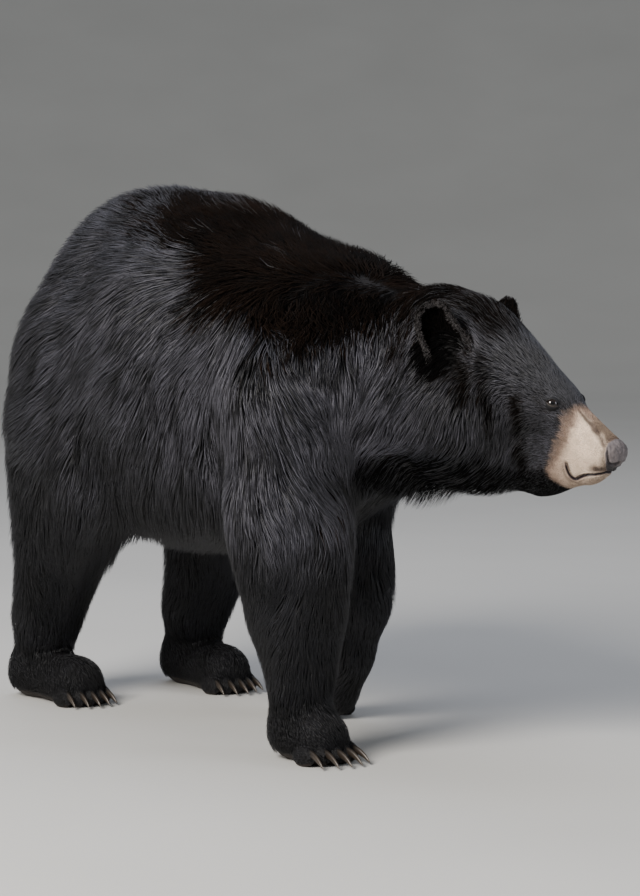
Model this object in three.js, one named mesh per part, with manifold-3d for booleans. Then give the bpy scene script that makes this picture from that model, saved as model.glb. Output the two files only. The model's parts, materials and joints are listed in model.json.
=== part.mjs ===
// American black bear, adult male, standing with the head low and turned a little to its left.
// Millimetres. +X points forwards, +Y to the animal's left and +Z up. The soles are on z = 0.
// The body is one smooth form, grown round named bones and parted into nodes by thin cuts.
import * as THREE from "three";
import { mergeVertices } from "three/addons/utils/BufferGeometryUtils.js";
import Module from "manifold-3d";

const wasm = await Module();
wasm.setup();

// ---------------------------------------------------------------- driving sizes
const GAP = 0.4; // between neighbouring nodes
const DEG = Math.PI / 180;
const HIP_TOP = 905; // highest point of the back, at the tips of the coat
const BELLY_BOTTOM = 312;
const BODY_HALF_WIDTH = 288;
const HEAD_LENGTH = 336; // from the line between the ears to the tip of the nose

// ---------------------------------------------------------------- the head's own frame
const NAPE = new THREE.Vector3(552, 40, 700); // the middle of the line between the ears
const HEAD_YAW = 21 * DEG; // to the left
const HEAD_PITCH = 34 * DEG; // downwards
const headMatrix = new THREE.Matrix4()
  .makeTranslation(NAPE.x, NAPE.y, NAPE.z)
  .multiply(new THREE.Matrix4().makeRotationZ(HEAD_YAW))
  .multiply(new THREE.Matrix4().makeRotationY(HEAD_PITCH));
const headInverse = headMatrix.clone().invert();

// ---------------------------------------------------------------- forms of the field
// A form gives a point's distance from its surface. shave is the share of the coat's depth
// that is taken off: 0 is the tips of the coat, and 1 is the hide.

/** An ellipsoid about centre, with its three half sizes. */
function ball([cx, cy, cz], [rx, ry, rz], coat = 0) {
  return (x, y, z, shave) => {
    const cut = coat * shave;
    const ax = (x - cx) / (rx - cut);
    const ay = (y - cy) / (ry - cut);
    const az = (z - cz) / (rz - cut);
    const near = Math.hypot(ax, ay, az);
    const slope = Math.hypot(ax / (rx - cut), ay / (ry - cut), az / (rz - cut));
    return slope < 1e-9 ? -Math.min(rx, ry, rz) : (near * (near - 1)) / slope;
  };
}

/** A limb from a to b whose radius goes from ra to rb; flat under 1 makes it narrower along Y. */
function limb([ax, ay, az], [bx, by, bz], ra, rb, coat = 0, flat = 1) {
  const dx = bx - ax;
  const dy = (by - ay) / flat;
  const dz = bz - az;
  const square = dx * dx + dy * dy + dz * dz;
  return (x, y, z, shave) => {
    const px = x - ax;
    const py = (y - ay) / flat;
    const pz = z - az;
    const t = Math.min(1, Math.max(0, (px * dx + py * dy + pz * dz) / square));
    const far = Math.hypot(px - t * dx, py - t * dy, pz - t * dz);
    return far - (ra + (rb - ra) * t) + coat * shave;
  };
}

/** The smooth union of two distances; soft is the width of the fillet. */
function fillet(a, b, soft) {
  const h = Math.max(soft - Math.abs(a - b), 0) / soft;
  return Math.min(a, b) - (h * h * soft) / 4;
}

/** Left and right copies of what make gives for a side of +1 and -1. */
const bothSides = (make) => [make(1), make(-1)].flat();

// ---------------------------------------------------------------- trunk and neck
const COAT = { back: 34, flank: 40, belly: 58, neck: 40, thigh: 34, arm: 30, shank: 16, cheek: 26 };

const trunk = [
  ball([-288, 0, 625], [222, 226, HIP_TOP - 16 - 625], COAT.back),
  ball([-60, 0, 596], [320, BODY_HALF_WIDTH - 16, 596 - BELLY_BOTTOM], COAT.flank),
  ball([196, 0, 574], [228, 222, 228], COAT.flank),
  limb([-248, 0, 746], [-110, 0, 734], 154, 156, COAT.back),
  ...bothSides((side) => [limb([-170, side * 78, 462], [110, side * 74, 452], 138, 132, COAT.belly)]),
];
const shoulders = bothSides((side) => [
  limb([205, side * 92, 680], [330, side * 134, 560], 100, 112, COAT.arm),
]);
const neck = [
  limb([320, 0, 600], [500, 28, 632], 178, 114, COAT.neck, 0.96),
  limb([380, 10, 540], [545, 38, 546], 120, 112, COAT.neck, 0.95),
];

// ---------------------------------------------------------------- head, in its own frame
const skull = [
  ball([20, 0, -48], [108, 90, 80], 12),
  ball([108, 0, -42], [94, 70, 68], 10),
  limb([80, 0, -26], [196, 0, -28], 52, 38, 8),
  ...bothSides((side) => [
    ball([76, side * 56, -92], [86, 56, 76], COAT.cheek),
    ball([190, side * 33, -16], [32, 20, 18], 6),
  ]),
  limb([-20, 0, -150], [140, 0, -148], 84, 60, COAT.cheek, 0.95),
];
const snout = [
  limb([176, 0, -44], [294, 0, -42], 50, 37, 5, 0.98),
  limb([150, 0, -130], [230, 0, -108], 58, 48, 6, 0.9),
  limb([230, 0, -108], [296, 0, -74], 48, 23, 6, 0.9),
];
const noseForms = [ball([318, 0, -26], [22, 29, 24])];
const EYE = { along: 209, up: -10, radius: 11, proud: 3.6, slant: 0.3, lidRing: 9.6, lidThick: 2.6, lidLift: 0.6 };
const EAR = {
  base: [40, 98, -62],
  lean: [-0.5, 0.28, 0.8],
  broad: [0.86, -0.34, 0.22],
  height: 106,
  thick: 7,
  columns: 7,
  // share of the height, half width and depth of the cup
  rows: [[0, 28, 25], [0.3, 40, 29], [0.62, 42, 23], [0.86, 31, 13], [1, 13, 5]],
};
const MOUTH = [[330, 3, -56], [320, 22, -62], [309, 36, -75], [296, 43, -82], [284, 48, -78], [270, 53, -70]];
const MOUTH_DEPTH = 3.2;
const UPPER_LIP = [[322, 10, -52], [314, 26, -58], [304, 35, -70], [292, 40, -76]];
const LIP_RADIUS = 6;
const NOSTRIL = { path: [[330, 8, -14], [336, 12, -20], [330, 20, -26], [318, 28, -25]], radii: [4, 5.5, 3.6, 1.6] };
const PHILTRUM = [[342, 0, -30], [338, 0, -42], [324, 0, -58]];

// ---------------------------------------------------------------- limbs
const FORE = {
  right: { shoulder: [350, -136, 560], elbow: [336, -154, 400], wrist: [346, -138, 142] },
  left: { shoulder: [262, 130, 560], elbow: [48, 134, 440], wrist: [140, 128, 204] },
};
const HIND = {
  right: { hip: [-300, -132, 600], knee: [-214, -168, 430], ankle: [-412, -150, 150] },
  left: { hip: [-300, 132, 600], knee: [-200, 170, 430], ankle: [-372, 142, 150] },
};
const PAW_RADIUS = 48;
const TOE_RADIUS = 17;
const TOE_HEIGHT = 15;
const TOES = 5;
const CLAW_RADIUS = 7.5;
// The left forefoot is about to be lifted: its wrist is bent, and it rests on its toes.
const PAWS = {
  front_right: { heel: [340, -136, 44], toe: [388, -133, 30], aim: [0.94, 0, -0.2], clawLength: 40, spread: 84 },
  front_left: { heel: [104, 128, 118], toe: [64, 128, 40], aim: [-0.8, 0, -0.3], clawLength: 36, spread: 80 },
  hind_right: { heel: [-444, -154, 44], toe: [-318, -148, 30], aim: [0.94, 0, -0.3], clawLength: 30, spread: 80 },
  hind_left: { heel: [-408, 146, 44], toe: [-282, 140, 30], aim: [0.94, 0, -0.3], clawLength: 30, spread: 80 },
};

const foreLegs = ["right", "left"].flatMap((name) => {
  const { shoulder, elbow, wrist } = FORE[name];
  const along = (t) => elbow.map((v, i) => v + (wrist[i] - v) * t);
  const point = [elbow[0] - 46, elbow[1], elbow[2] + 6];
  return [
    limb(shoulder, elbow, 116, 90, COAT.arm),
    limb(point, along(0.3), 50, 66, COAT.arm),
    limb(along(0.15), along(0.62), 82, 76, COAT.shank),
    limb(elbow, wrist, 84, 55, COAT.shank),
  ];
});
const hindLegs = ["right", "left"].flatMap((name) => {
  const { hip, knee, ankle } = HIND[name];
  const thigh = [(hip[0] + knee[0]) / 2 - 64, (hip[1] + knee[1]) / 2, (hip[2] + knee[2]) / 2 - 40];
  return [
    limb(hip, knee, 136, 92, COAT.thigh),
    limb(thigh, ankle, 130, 52, COAT.thigh),
    limb(knee, ankle, 84, 54, COAT.shank),
  ];
});
const paws = Object.entries(PAWS).flatMap(([name, { heel, toe }]) => {
  const ankle = name.startsWith("front") ? FORE[name.slice(6)].wrist : HIND[name.slice(5)].ankle;
  return [
    limb(ankle, heel, 53, PAW_RADIUS - 2, 10),
    limb(heel, [toe[0], toe[1], toe[2] + 6], PAW_RADIUS, PAW_RADIUS + 2, 8),
  ];
});
const TAIL = {
  path: [[-462, 0, 712], [-496, 0, 700], [-528, 0, 670], [-546, 0, 628], [-550, 0, 584]],
  radii: [38, 44, 42, 34, 18],
  squash: 1.15,
};

const bodyGroups = [
  { soft: 70, forms: trunk },
  { soft: 70, forms: shoulders },
  { soft: 60, forms: neck },
  { soft: 60, forms: [...foreLegs, ...hindLegs] },
  { soft: 30, forms: paws },
];
const headGroups = [
  { soft: 34, forms: skull },
  { soft: 26, forms: snout },
  { soft: 10, forms: noseForms },
];
const HEAD_FILLET = 60;

const gather = (groups, x, y, z, shave) => {
  let d = Infinity;
  for (const { soft, forms } of groups) {
    for (const form of forms) d = fillet(d, form(x, y, z, shave), soft);
  }
  return d;
};
const inverse = headInverse.elements;
const forward = headMatrix.elements;

/** Distance from the whole animal, for a point in the model's frame. */
function bear(x, y, z, shave = 0) {
  const e = inverse;
  const hx = e[0] * x + e[4] * y + e[8] * z + e[12];
  const hy = e[1] * x + e[5] * y + e[9] * z + e[13];
  const hz = e[2] * x + e[6] * y + e[10] * z + e[14];
  const trunkDistance = gather(bodyGroups, x, y, z, shave);
  return fillet(trunkDistance, gather(headGroups, hx, hy, hz, shave), HEAD_FILLET);
}

/** The same distance, for a point in the head's frame. */
function bearFromHead(hx, hy, hz, shave = 0) {
  const e = forward;
  const x = e[0] * hx + e[4] * hy + e[8] * hz + e[12];
  const y = e[1] * hx + e[5] * hy + e[9] * hz + e[13];
  const z = e[2] * hx + e[6] * hy + e[10] * hz + e[14];
  return fillet(gather(bodyGroups, x, y, z, shave), gather(headGroups, hx, hy, hz, shave), HEAD_FILLET);
}

// ---------------------------------------------------------------- field to mesh
const PROJECTIONS = 3;
const RELAXATIONS = 3;

/** The field's value and unit slope at a point. */
function slopeAt(field, p) {
  const step = 0.5;
  const d = field(p[0], p[1], p[2]);
  const g = [
    (field(p[0] + step, p[1], p[2]) - d) / step,
    (field(p[0], p[1] + step, p[2]) - d) / step,
    (field(p[0], p[1], p[2] + step) - d) / step,
  ];
  const size = Math.hypot(...g) + 1e-9;
  return { d: d / size, n: g.map((v) => v / size) };
}

/** Moves a point along the field's slope until it lies on the surface. */
function settle(field, p, most) {
  for (let round = 0; round < PROJECTIONS; round += 1) {
    const { d, n } = slopeAt(field, p);
    const far = Math.max(-most, Math.min(most, d));
    for (let q = 0; q < 3; q += 1) p[q] -= far * n[q];
  }
  return p;
}

/** A closed net on the field's surface inside the box from low to high, with one point in each cell it crosses. */
function wrap(field, low, high, cell) {
  const count = low.map((v, i) => Math.ceil((high[i] - v) / cell) + 3);
  const [nx, ny, nz] = count;
  const start = low.map((v, i) => (v + high[i]) / 2 - ((count[i] - 1) * cell) / 2);
  const boxed = (x, y, z) =>
    Math.max(field(x, y, z), low[0] - x, x - high[0], low[1] - y, y - high[1], low[2] - z, z - high[2]);
  const at = (i, j, k) => (k * ny + j) * nx + i;
  const value = new Float32Array(nx * ny * nz);
  for (let k = 0; k < nz; k += 1)
    for (let j = 0; j < ny; j += 1)
      for (let i = 0; i < nx; i += 1)
        value[at(i, j, k)] = boxed(start[0] + i * cell, start[1] + j * cell, start[2] + k * cell);

  const points = [];
  const pointOf = new Map();
  const corner = [0, 1, 2, 3, 4, 5, 6, 7].map((c) => [c & 1, (c >> 1) & 1, (c >> 2) & 1]);
  for (let k = 0; k < nz - 1; k += 1)
    for (let j = 0; j < ny - 1; j += 1)
      for (let i = 0; i < nx - 1; i += 1) {
        const v = corner.map(([a, b, c]) => value[at(i + a, j + b, k + c)]);
        if (v.every((d) => d < 0) || v.every((d) => d >= 0)) continue;
        const sum = [0, 0, 0];
        let crossings = 0;
        for (let m = 0; m < 8; m += 1)
          for (let axis = 0; axis < 3; axis += 1) {
            const n = m | (1 << axis);
            if (n === m || v[m] < 0 === v[n] < 0) continue;
            const t = v[m] / (v[m] - v[n]);
            corner[m].forEach((c, q) => {
              sum[q] += q === axis ? t : c;
            });
            crossings += 1;
          }
        pointOf.set(at(i, j, k), points.length);
        points.push(settle(boxed, [i, j, k].map((c, q) => start[q] + (c + sum[q] / crossings) * cell), cell / 3));
      }

  const quads = [];
  const quad = (a, b, c, d, flip) => {
    const corners = [a, b, c, d].map((key) => pointOf.get(key));
    quads.push(flip ? corners.reverse() : corners);
  };
  for (let k = 1; k < nz - 1; k += 1)
    for (let j = 1; j < ny - 1; j += 1)
      for (let i = 1; i < nx - 1; i += 1) {
        const inside = value[at(i, j, k)] < 0;
        if (inside !== value[at(i + 1, j, k)] < 0)
          quad(at(i, j - 1, k - 1), at(i, j, k - 1), at(i, j, k), at(i, j - 1, k), !inside);
        if (inside !== value[at(i, j + 1, k)] < 0)
          quad(at(i - 1, j, k - 1), at(i - 1, j, k), at(i, j, k), at(i, j, k - 1), !inside);
        if (inside !== value[at(i, j, k + 1)] < 0)
          quad(at(i - 1, j - 1, k), at(i, j - 1, k), at(i, j, k), at(i - 1, j, k), !inside);
      }

  // the points are evened out along the surface, and put back on it
  const near = points.map(() => new Set());
  for (const corners of quads)
    corners.forEach((a, q) => {
      near[a].add(corners[(q + 1) % 4]);
      near[a].add(corners[(q + 3) % 4]);
    });
  for (let round = 0; round < RELAXATIONS; round += 1) {
    const moved = points.map((p, a) => {
      const mean = [0, 0, 0];
      for (const b of near[a]) for (let q = 0; q < 3; q += 1) mean[q] += points[b][q] / near[a].size;
      return settle(boxed, mean.map((v, q) => p[q] + (v - p[q]) * 0.6), cell / 3);
    });
    moved.forEach((p, a) => {
      points[a] = p;
    });
  }

  // each quad is split along the diagonal that lies closer to the surface
  const index = [];
  for (const [p, q, r, s] of quads) {
    const off = (a, b) => Math.abs(boxed(...points[a].map((v, m) => (v + points[b][m]) / 2)));
    if (off(p, r) <= off(q, s)) index.push(p, q, r, p, r, s);
    else index.push(p, q, s, q, r, s);
  }
  return { points, index, field: boxed };
}

// ---------------------------------------------------------------- cutting and joining
/** A closed solid from points and triangle corners. */
function solidOf(points, index) {
  return new wasm.Manifold(
    new wasm.Mesh({
      numProp: 3,
      vertProperties: new Float32Array(points.flat()),
      triVerts: new Uint32Array(index),
    }),
  );
}

/** A net as a solid, grown outwards by a little. */
const netSolid = ({ points, index, field }, grow = 0) =>
  solidOf(
    grow === 0
      ? points
      : points.map((p) => {
          const { n } = slopeAt(field, p);
          return p.map((v, q) => v + n[q] * grow);
        }),
    index,
  );

/** A closed three.js geometry as a solid. */
function solid(geometry, matrix = new THREE.Matrix4()) {
  const bare = geometry.clone();
  bare.deleteAttribute("normal");
  bare.deleteAttribute("uv");
  const merged = mergeVertices(bare.applyMatrix4(matrix), 1e-3);
  const { array } = merged.attributes.position;
  const points = Array.from({ length: array.length / 3 }, (_, i) => [...array.subarray(i * 3, i * 3 + 3)]);
  return solidOf(points, [...merged.index.array]);
}

/**
 * A closed form through rings along a path. Each ring has a middle, a side and a lift vector and its
 * two half sizes; shape gives the ring's corners as pairs. The ends close on their own tips.
 */
function loft(rings, corners, from, to) {
  const points = rings.flatMap(({ at, side, lift, wide, high }) =>
    corners.map(([u, v]) =>
      at.clone().addScaledVector(side, u * wide).addScaledVector(lift, v * high).toArray(),
    ),
  );
  const n = corners.length;
  const index = [];
  for (let r = 0; r + 1 < rings.length; r += 1)
    for (let c = 0; c < n; c += 1) {
      const a = r * n + c;
      const b = r * n + ((c + 1) % n);
      index.push(a, b, b + n, a, b + n, a + n);
    }
  const first = points.push(from.toArray()) - 1;
  const last = points.push(to.toArray()) - 1;
  const end = (rings.length - 1) * n;
  for (let c = 0; c < n; c += 1) {
    const d = (c + 1) % n;
    index.push(first, d, c, last, end + c, end + d);
  }
  const made = solidOf(points, index);
  if (made.volume() >= 0) return made;
  const turned = [];
  for (let i = 0; i < index.length; i += 3) turned.push(index[i], index[i + 2], index[i + 1]);
  return solidOf(points, turned);
}

const ringCorners = (n) =>
  Array.from({ length: n }, (_, i) => [Math.cos((i / n) * 2 * Math.PI), Math.sin((i / n) * 2 * Math.PI)]);

/** A round rope through points, with a radius at each and a point at both ends. */
function rope(path, radii, sides, squash = 1) {
  const spots = path.map((p) => new THREE.Vector3(...p));
  const rings = spots.map((at, i) => {
    const along = spots[Math.min(i + 1, spots.length - 1)].clone().sub(spots[Math.max(i - 1, 0)]).normalize();
    return { at, along };
  });
  // the frame is carried along the path, so that it never turns over
  let side = new THREE.Vector3(0, 1, 0);
  if (Math.abs(rings[0].along.y) > 0.8) side = new THREE.Vector3(0, 0, 1);
  rings.forEach((ring, i) => {
    side = side.clone().addScaledVector(ring.along, -side.dot(ring.along)).normalize();
    const lift = new THREE.Vector3().crossVectors(ring.along, side).normalize();
    Object.assign(ring, { side, lift, wide: radii[i] * squash, high: radii[i] });
  });
  const from = rings[0].at.clone().addScaledVector(rings[0].along, -radii[0] * 0.6);
  const last = rings[rings.length - 1];
  const to = last.at.clone().addScaledVector(last.along, radii[radii.length - 1] * 0.6);
  return loft(rings, ringCorners(sides), from, to);
}

const BIG = 4000;

/** All that lies ahead of a plane, as a large box. */
function ahead(point, normal) {
  const n = new THREE.Vector3(...normal).normalize();
  const turn = new THREE.Quaternion().setFromUnitVectors(new THREE.Vector3(0, 0, 1), n);
  const middle = new THREE.Vector3(...point).addScaledVector(n, BIG / 2);
  const place = new THREE.Matrix4().compose(middle, turn, new THREE.Vector3(1, 1, 1));
  return solid(new THREE.BoxGeometry(BIG, BIG, BIG), place);
}

/** All that lies behind the same plane. */
const behind = (point, normal) => ahead(point, normal.map((v) => -v));

/** A point moved along a plane's normal. */
function shifted(point, normal, by) {
  const n = new THREE.Vector3(...normal).normalize();
  return [point[0] + n.x * by, point[1] + n.y * by, point[2] + n.z * by];
}

/** A smooth-sided post round a limb, from a at its foot to b at its top. */
function post(a, b, ra, rb, grow) {
  const from = new THREE.Vector3(...a);
  const to = new THREE.Vector3(...b);
  const along = to.clone().sub(from);
  const turn = new THREE.Quaternion().setFromUnitVectors(
    new THREE.Vector3(0, 1, 0),
    along.clone().normalize(),
  );
  const place = new THREE.Matrix4().compose(from.add(to).multiplyScalar(0.5), turn, new THREE.Vector3(1, 1, 1));
  return solid(new THREE.CylinderGeometry(rb + grow, ra + grow, along.length(), 28), place);
}

/** A small round solid about a point. */
function bead(radius, [sx, sy, sz], place, wide = 12, high = 8) {
  return solid(new THREE.SphereGeometry(radius, wide, high).scale(sx, sy, sz), place);
}

const WELD = 0.02; // points nearer than this become one
const TOUCH = 0.015; // or are drawn apart by this, where they belong to different sheets

/** Points and triangle corners with the shortest edges drawn together, and still closed. */
function weld(points, index) {
  const owner = points.map((_, i) => i);
  const find = (i) => {
    let r = i;
    while (owner[r] !== r) r = owner[r];
    return r;
  };
  const faces = [];
  for (let i = 0; i < index.length; i += 3) faces.push([index[i], index[i + 1], index[i + 2]]);
  for (;;) {
    let joined = 0;
    const rings = new Map();
    const link = (a, b) => rings.get(a)?.add(b) ?? rings.set(a, new Set([b]));
    for (const [p, q, r] of faces) {
      link(p, q), link(q, p), link(q, r), link(r, q), link(r, p), link(p, r);
    }
    for (const [a, b] of faces.flatMap(([p, q, r]) => [[p, q], [q, r], [r, p]])) {
      if (find(a) !== a || find(b) !== b) continue;
      const gap = Math.hypot(...points[a].map((v, q) => v - points[b][q]));
      if (gap > WELD) continue;
      const shared = [...rings.get(a)].filter((v) => rings.get(b).has(v));
      if (shared.length !== 2 || shared.some((v) => find(v) !== v)) continue;
      if ([...rings.get(a), ...rings.get(b)].some((v) => find(v) !== v)) continue;
      owner[b] = a;
      joined += 1;
    }
    if (joined === 0) break;
    const kept = faces
      .map((face) => face.map(find))
      .filter(([p, q, r]) => p !== q && q !== r && r !== p);
    faces.splice(0, faces.length, ...kept);
  }
  return faces.flat();
}

/** Draws apart, a hair inwards, any points of different sheets that touch. */
function unpinch(points, index) {
  const normals = points.map(() => new THREE.Vector3());
  const [a, b, c] = [new THREE.Vector3(), new THREE.Vector3(), new THREE.Vector3()];
  for (let i = 0; i < index.length; i += 3) {
    a.fromArray(points[index[i]]);
    b.fromArray(points[index[i + 1]]).sub(a);
    c.fromArray(points[index[i + 2]]).sub(a);
    b.cross(c);
    for (let k = 0; k < 3; k += 1) normals[index[i + k]].add(b);
  }
  const used = [...new Set(index)].sort((p, q) => points[p][0] - points[q][0]);
  const touching = new Set();
  for (let i = 0; i < used.length; i += 1)
    for (let j = i + 1; j < used.length && points[used[j]][0] - points[used[i]][0] < TOUCH; j += 1) {
      const apart = Math.hypot(...points[used[i]].map((v, q) => v - points[used[j]][q]));
      if (apart < TOUCH) touching.add(used[i]).add(used[j]);
    }
  for (const i of touching) {
    const n = normals[i].normalize();
    points[i] = [points[i][0] - n.x * TOUCH, points[i][1] - n.y * TOUCH, points[i][2] - n.z * TOUCH];
  }
}

/** The largest closed surface of a solid, as a named mesh. */
function node(name, shape, material) {
  const whole = shape.decompose().reduce((a, b) => (b.volume() > a.volume() ? b : a));
  const { vertProperties, triVerts, numProp } = whole.getMesh();
  const points = Array.from({ length: vertProperties.length / numProp }, (_, i) => [
    ...vertProperties.subarray(i * numProp, i * numProp + 3),
  ]);
  const index = weld(points, [...triVerts]);
  unpinch(points, index);
  const geometry = new THREE.BufferGeometry();
  geometry.setAttribute("position", new THREE.Float32BufferAttribute(points.flat(), 3));
  geometry.setIndex(index);
  geometry.computeVertexNormals();
  const made = new THREE.Mesh(geometry, material);
  made.name = name;
  return made;
}

// ---------------------------------------------------------------- the coat's locks
const { clamp, smoothstep } = THREE.MathUtils;
const CORE = 0.5; // share of the coat's depth that the locks rise through
const LOCKS = { seed: 24, netCell: 34, thick: 13, sink: 0.95, wander: 0.3 };

/** A seeded run of numbers from 0 to 1. */
function seeded(seed) {
  let state = seed;
  return () => {
    state = (state * 1664525 + 1013904223) % 4294967296;
    return state / 4294967296;
  };
}

const hearHead = new THREE.Vector3();

/** How much of the coat is built as locks at a point: 1 on the body, and 0 on the face and feet. */
function coatAt(x, y, z) {
  const along = hearHead.set(x, y, z).applyMatrix4(headInverse).x;
  return smoothstep(z, 150, 230) * (1 - smoothstep(along, 10, 80));
}

/** The body under its locks. */
const core = (x, y, z) => bear(x, y, z, CORE * coatAt(x, y, z));

/** The way the coat lies at a point on the surface with its normal. */
function lieAt(p, n) {
  const low = clamp((850 - p.z) / 260, 0, 1);
  const aim = new THREE.Vector3(-1 + 0.6 * low, 0, -0.1 - 0.9 * low);
  const chest = smoothstep(p.x, 170, 330) * (1 - smoothstep(p.z, 520, 690));
  aim.lerp(new THREE.Vector3(0.28, -0.1 * Math.sign(p.y), -1), chest);
  const limbs = 1 - smoothstep(p.z, 300, 420);
  aim.lerp(new THREE.Vector3(-0.25, 0, -1), limbs);
  const under = smoothstep(-n.z, 0.6, 0.95) * smoothstep(p.z, 240, 320);
  aim.lerp(new THREE.Vector3(-1, 0, 0), under);
  return aim.addScaledVector(n, -aim.dot(n)).normalize();
}

/** Spacing and length of the locks round a point, or nothing where there are none. */
function lockSize(p, n) {
  const inHead = p.clone().applyMatrix4(headInverse);
  const ear = Math.hypot(inHead.x - 4, Math.abs(inHead.y) - 112, inHead.z + 20);
  const tail = Math.hypot(p.x + 545, p.y, p.z - 655);
  if (inHead.x > 62 || p.z < 205 || ear < 100 || tail < 78) return null;
  if (inHead.x > -60) return { apart: 74, length: 116, hang: 0 };
  if (p.z < 345 && n.z > -0.75) return { apart: 80, length: 130, hang: 0 };
  const fringe = 1 - smoothstep(p.z, 400, 520);
  if (n.z < -0.8) return { apart: 130, length: 160, hang: 6 };
  return { apart: 112 - 22 * fringe, length: 232 - 60 * fringe, hang: 26 * fringe };
}

/** One flat lock that follows the surface from its sunken root to its tip. */
function makeLock(root, size, random) {
  const rings = [];
  const vary = 0.85 + 0.3 * random();
  const swerve = (random() - 0.5) * 2 * LOCKS.wander;
  const half = size.apart * 0.44 * (0.88 + 0.24 * random());
  const place = new THREE.Vector3(...root);
  const stations = [
    { s: -0.22, wide: 0.75, depth: LOCKS.sink, high: 1 },
    { s: 0.4, wide: 1, depth: 0.02, high: 1 },
    { s: 1, wide: 0, depth: 0.1 - 0.25 * random(), high: 0 },
  ];
  let reached = 0;
  let last = null;
  for (const { s, wide, depth, high } of stations) {
    const { n } = slopeAt(bear, place.toArray());
    const normal = new THREE.Vector3(...n);
    const along = lieAt(place, normal);
    along.applyAxisAngle(normal, swerve * (0.4 + s));
    place.addScaledVector(along, (s - reached) * size.length * vary);
    reached = s;
    const shave = depth * coatAt(place.x, place.y, place.z);
    const level = (x, y, z) => bear(x, y, z, shave);
    place.fromArray(settle(level, place.toArray(), 30));
    const lift = new THREE.Vector3(...slopeAt(bear, place.toArray()).n);
    const heading = lieAt(place, lift).applyAxisAngle(lift, swerve * (0.4 + s));
    last = {
      at: place.clone().addScaledVector(lift, -LOCKS.thick * 0.32 * high),
      side: new THREE.Vector3().crossVectors(lift, heading).normalize(),
      lift,
      wide: half * wide,
      high: LOCKS.thick * high,
      heading,
    };
    rings.push(last);
  }
  const tip = rings.pop().at;
  tip.z -= size.hang * (0.6 + 0.8 * random());
  const first = rings[0];
  const from = first.at.clone().addScaledVector(first.heading, -size.length * 0.06);
  return loft(rings, [[-1, -0.42], [1, -0.42], [0, 0.32]], from, tip);
}

/** All the locks, spread evenly over the coat. */
function coatLocks() {
  const random = seeded(LOCKS.seed);
  const net = wrap(core, [-640, -400, 190], [700, 400, 1000], LOCKS.netCell);
  const order = net.points.map((p) => ({ p, key: random() })).sort((a, b) => a.key - b.key);
  const taken = [];
  for (const { p } of order) {
    const { n } = slopeAt(core, p);
    const size = lockSize(new THREE.Vector3(...p), new THREE.Vector3(...n));
    if (!size || p[2] < 200) continue;
    if (taken.some((t) => Math.hypot(...t.p.map((v, q) => v - p[q])) < size.apart)) continue;
    taken.push({ p, size });
  }
  return taken.map(({ p, size }) => makeLock(p, size, random));
}

// ---------------------------------------------------------------- materials
const finish = (color, roughness) => new THREE.MeshStandardMaterial({ color, roughness, metalness: 0 });
const furBlack = finish(0x17161a, 0.75);
const furTan = finish(0xb09a86, 0.8);
const noseLeather = finish(0x3a3336, 0.45);
const eyeBrown = finish(0x1e120b, 0.1);
const clawHorn = finish(0x2b2622, 0.4);

// ---------------------------------------------------------------- where the nodes part
const NECK_CUT = { point: [410, 0, 600], normal: [0.96, 0.1, 0.02] };
const HEAD_CUT = { point: [478, 25, 640], normal: [0.93, 0.26, -0.22] };
const MUZZLE_CUT = { point: [238, 0, -25], normal: [0.85, 0, 0.527] }; // in the head's frame
const NOSE_CUT = { point: [309, 0, -20], normal: [0.86, 0, 0.51] };
const FORE_SPLIT = { inner: [105, 345], outer: [262, 520] }; // side and height of the arm's upper cut
const HIND_SPLIT = { inner: [70, 352], outer: [300, 590] };
const WRIST_CUT = 112;
const ANKLE_CUT = 112;

/** The space a leg has to itself: inside a post and below a slanting cut. */
function legSpace(side, foot, top, footRadius, topRadius, split, grow) {
  const across = split.outer[0] - split.inner[0];
  const rise = split.outer[1] - split.inner[1];
  const normal = [0, -rise * side, across];
  const point = shifted([0, side * split.inner[0], split.inner[1]], normal, grow);
  return post(foot, top, footRadius, topRadius, grow).intersect(behind(point, normal));
}

const legs = {
  front_right: {
    space: (grow) => legSpace(-1, [330, -150, -60], [345, -190, 640], 150, 165, FORE_SPLIT, grow),
    box: [[180, -330, 80], [520, 0, 600]],
    cut: WRIST_CUT,
  },
  front_left: {
    space: (grow) => legSpace(1, [110, 150, -60], [180, 190, 640], 170, 190, FORE_SPLIT, grow),
    box: [[-90, 0, 100], [400, 330, 600]],
    cut: WRIST_CUT + 30,
  },
  hind_right: {
    space: (grow) => legSpace(-1, [-380, -190, -60], [-290, -190, 700], 190, 235, HIND_SPLIT, grow),
    box: [[-560, -400, 80], [-40, 20, 660]],
    cut: ANKLE_CUT,
  },
  hind_left: {
    space: (grow) => legSpace(1, [-352, 190, -60], [-280, 190, 700], 190, 235, HIND_SPLIT, grow),
    box: [[-560, -20, 80], [-40, 400, 660]],
    cut: ANKLE_CUT,
  },
};

const TORSO_CELL = 56;
const NECK_CELL = 44;
const LEG_CELL = 42;
const PAW_CELL = 36;
const HEAD_CELL = 28;
const MUZZLE_CELL = 16;
const NOSE_CELL = 13;

/** The core, for a point in the head's frame. */
function headField(hx, hy, hz) {
  const [x, y, z] = new THREE.Vector3(hx, hy, hz).applyMatrix4(headMatrix).toArray();
  return bearFromHead(hx, hy, hz, CORE * coatAt(x, y, z));
}
const animal = new THREE.Group();
const locks = wasm.Manifold.union(coatLocks());

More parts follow.
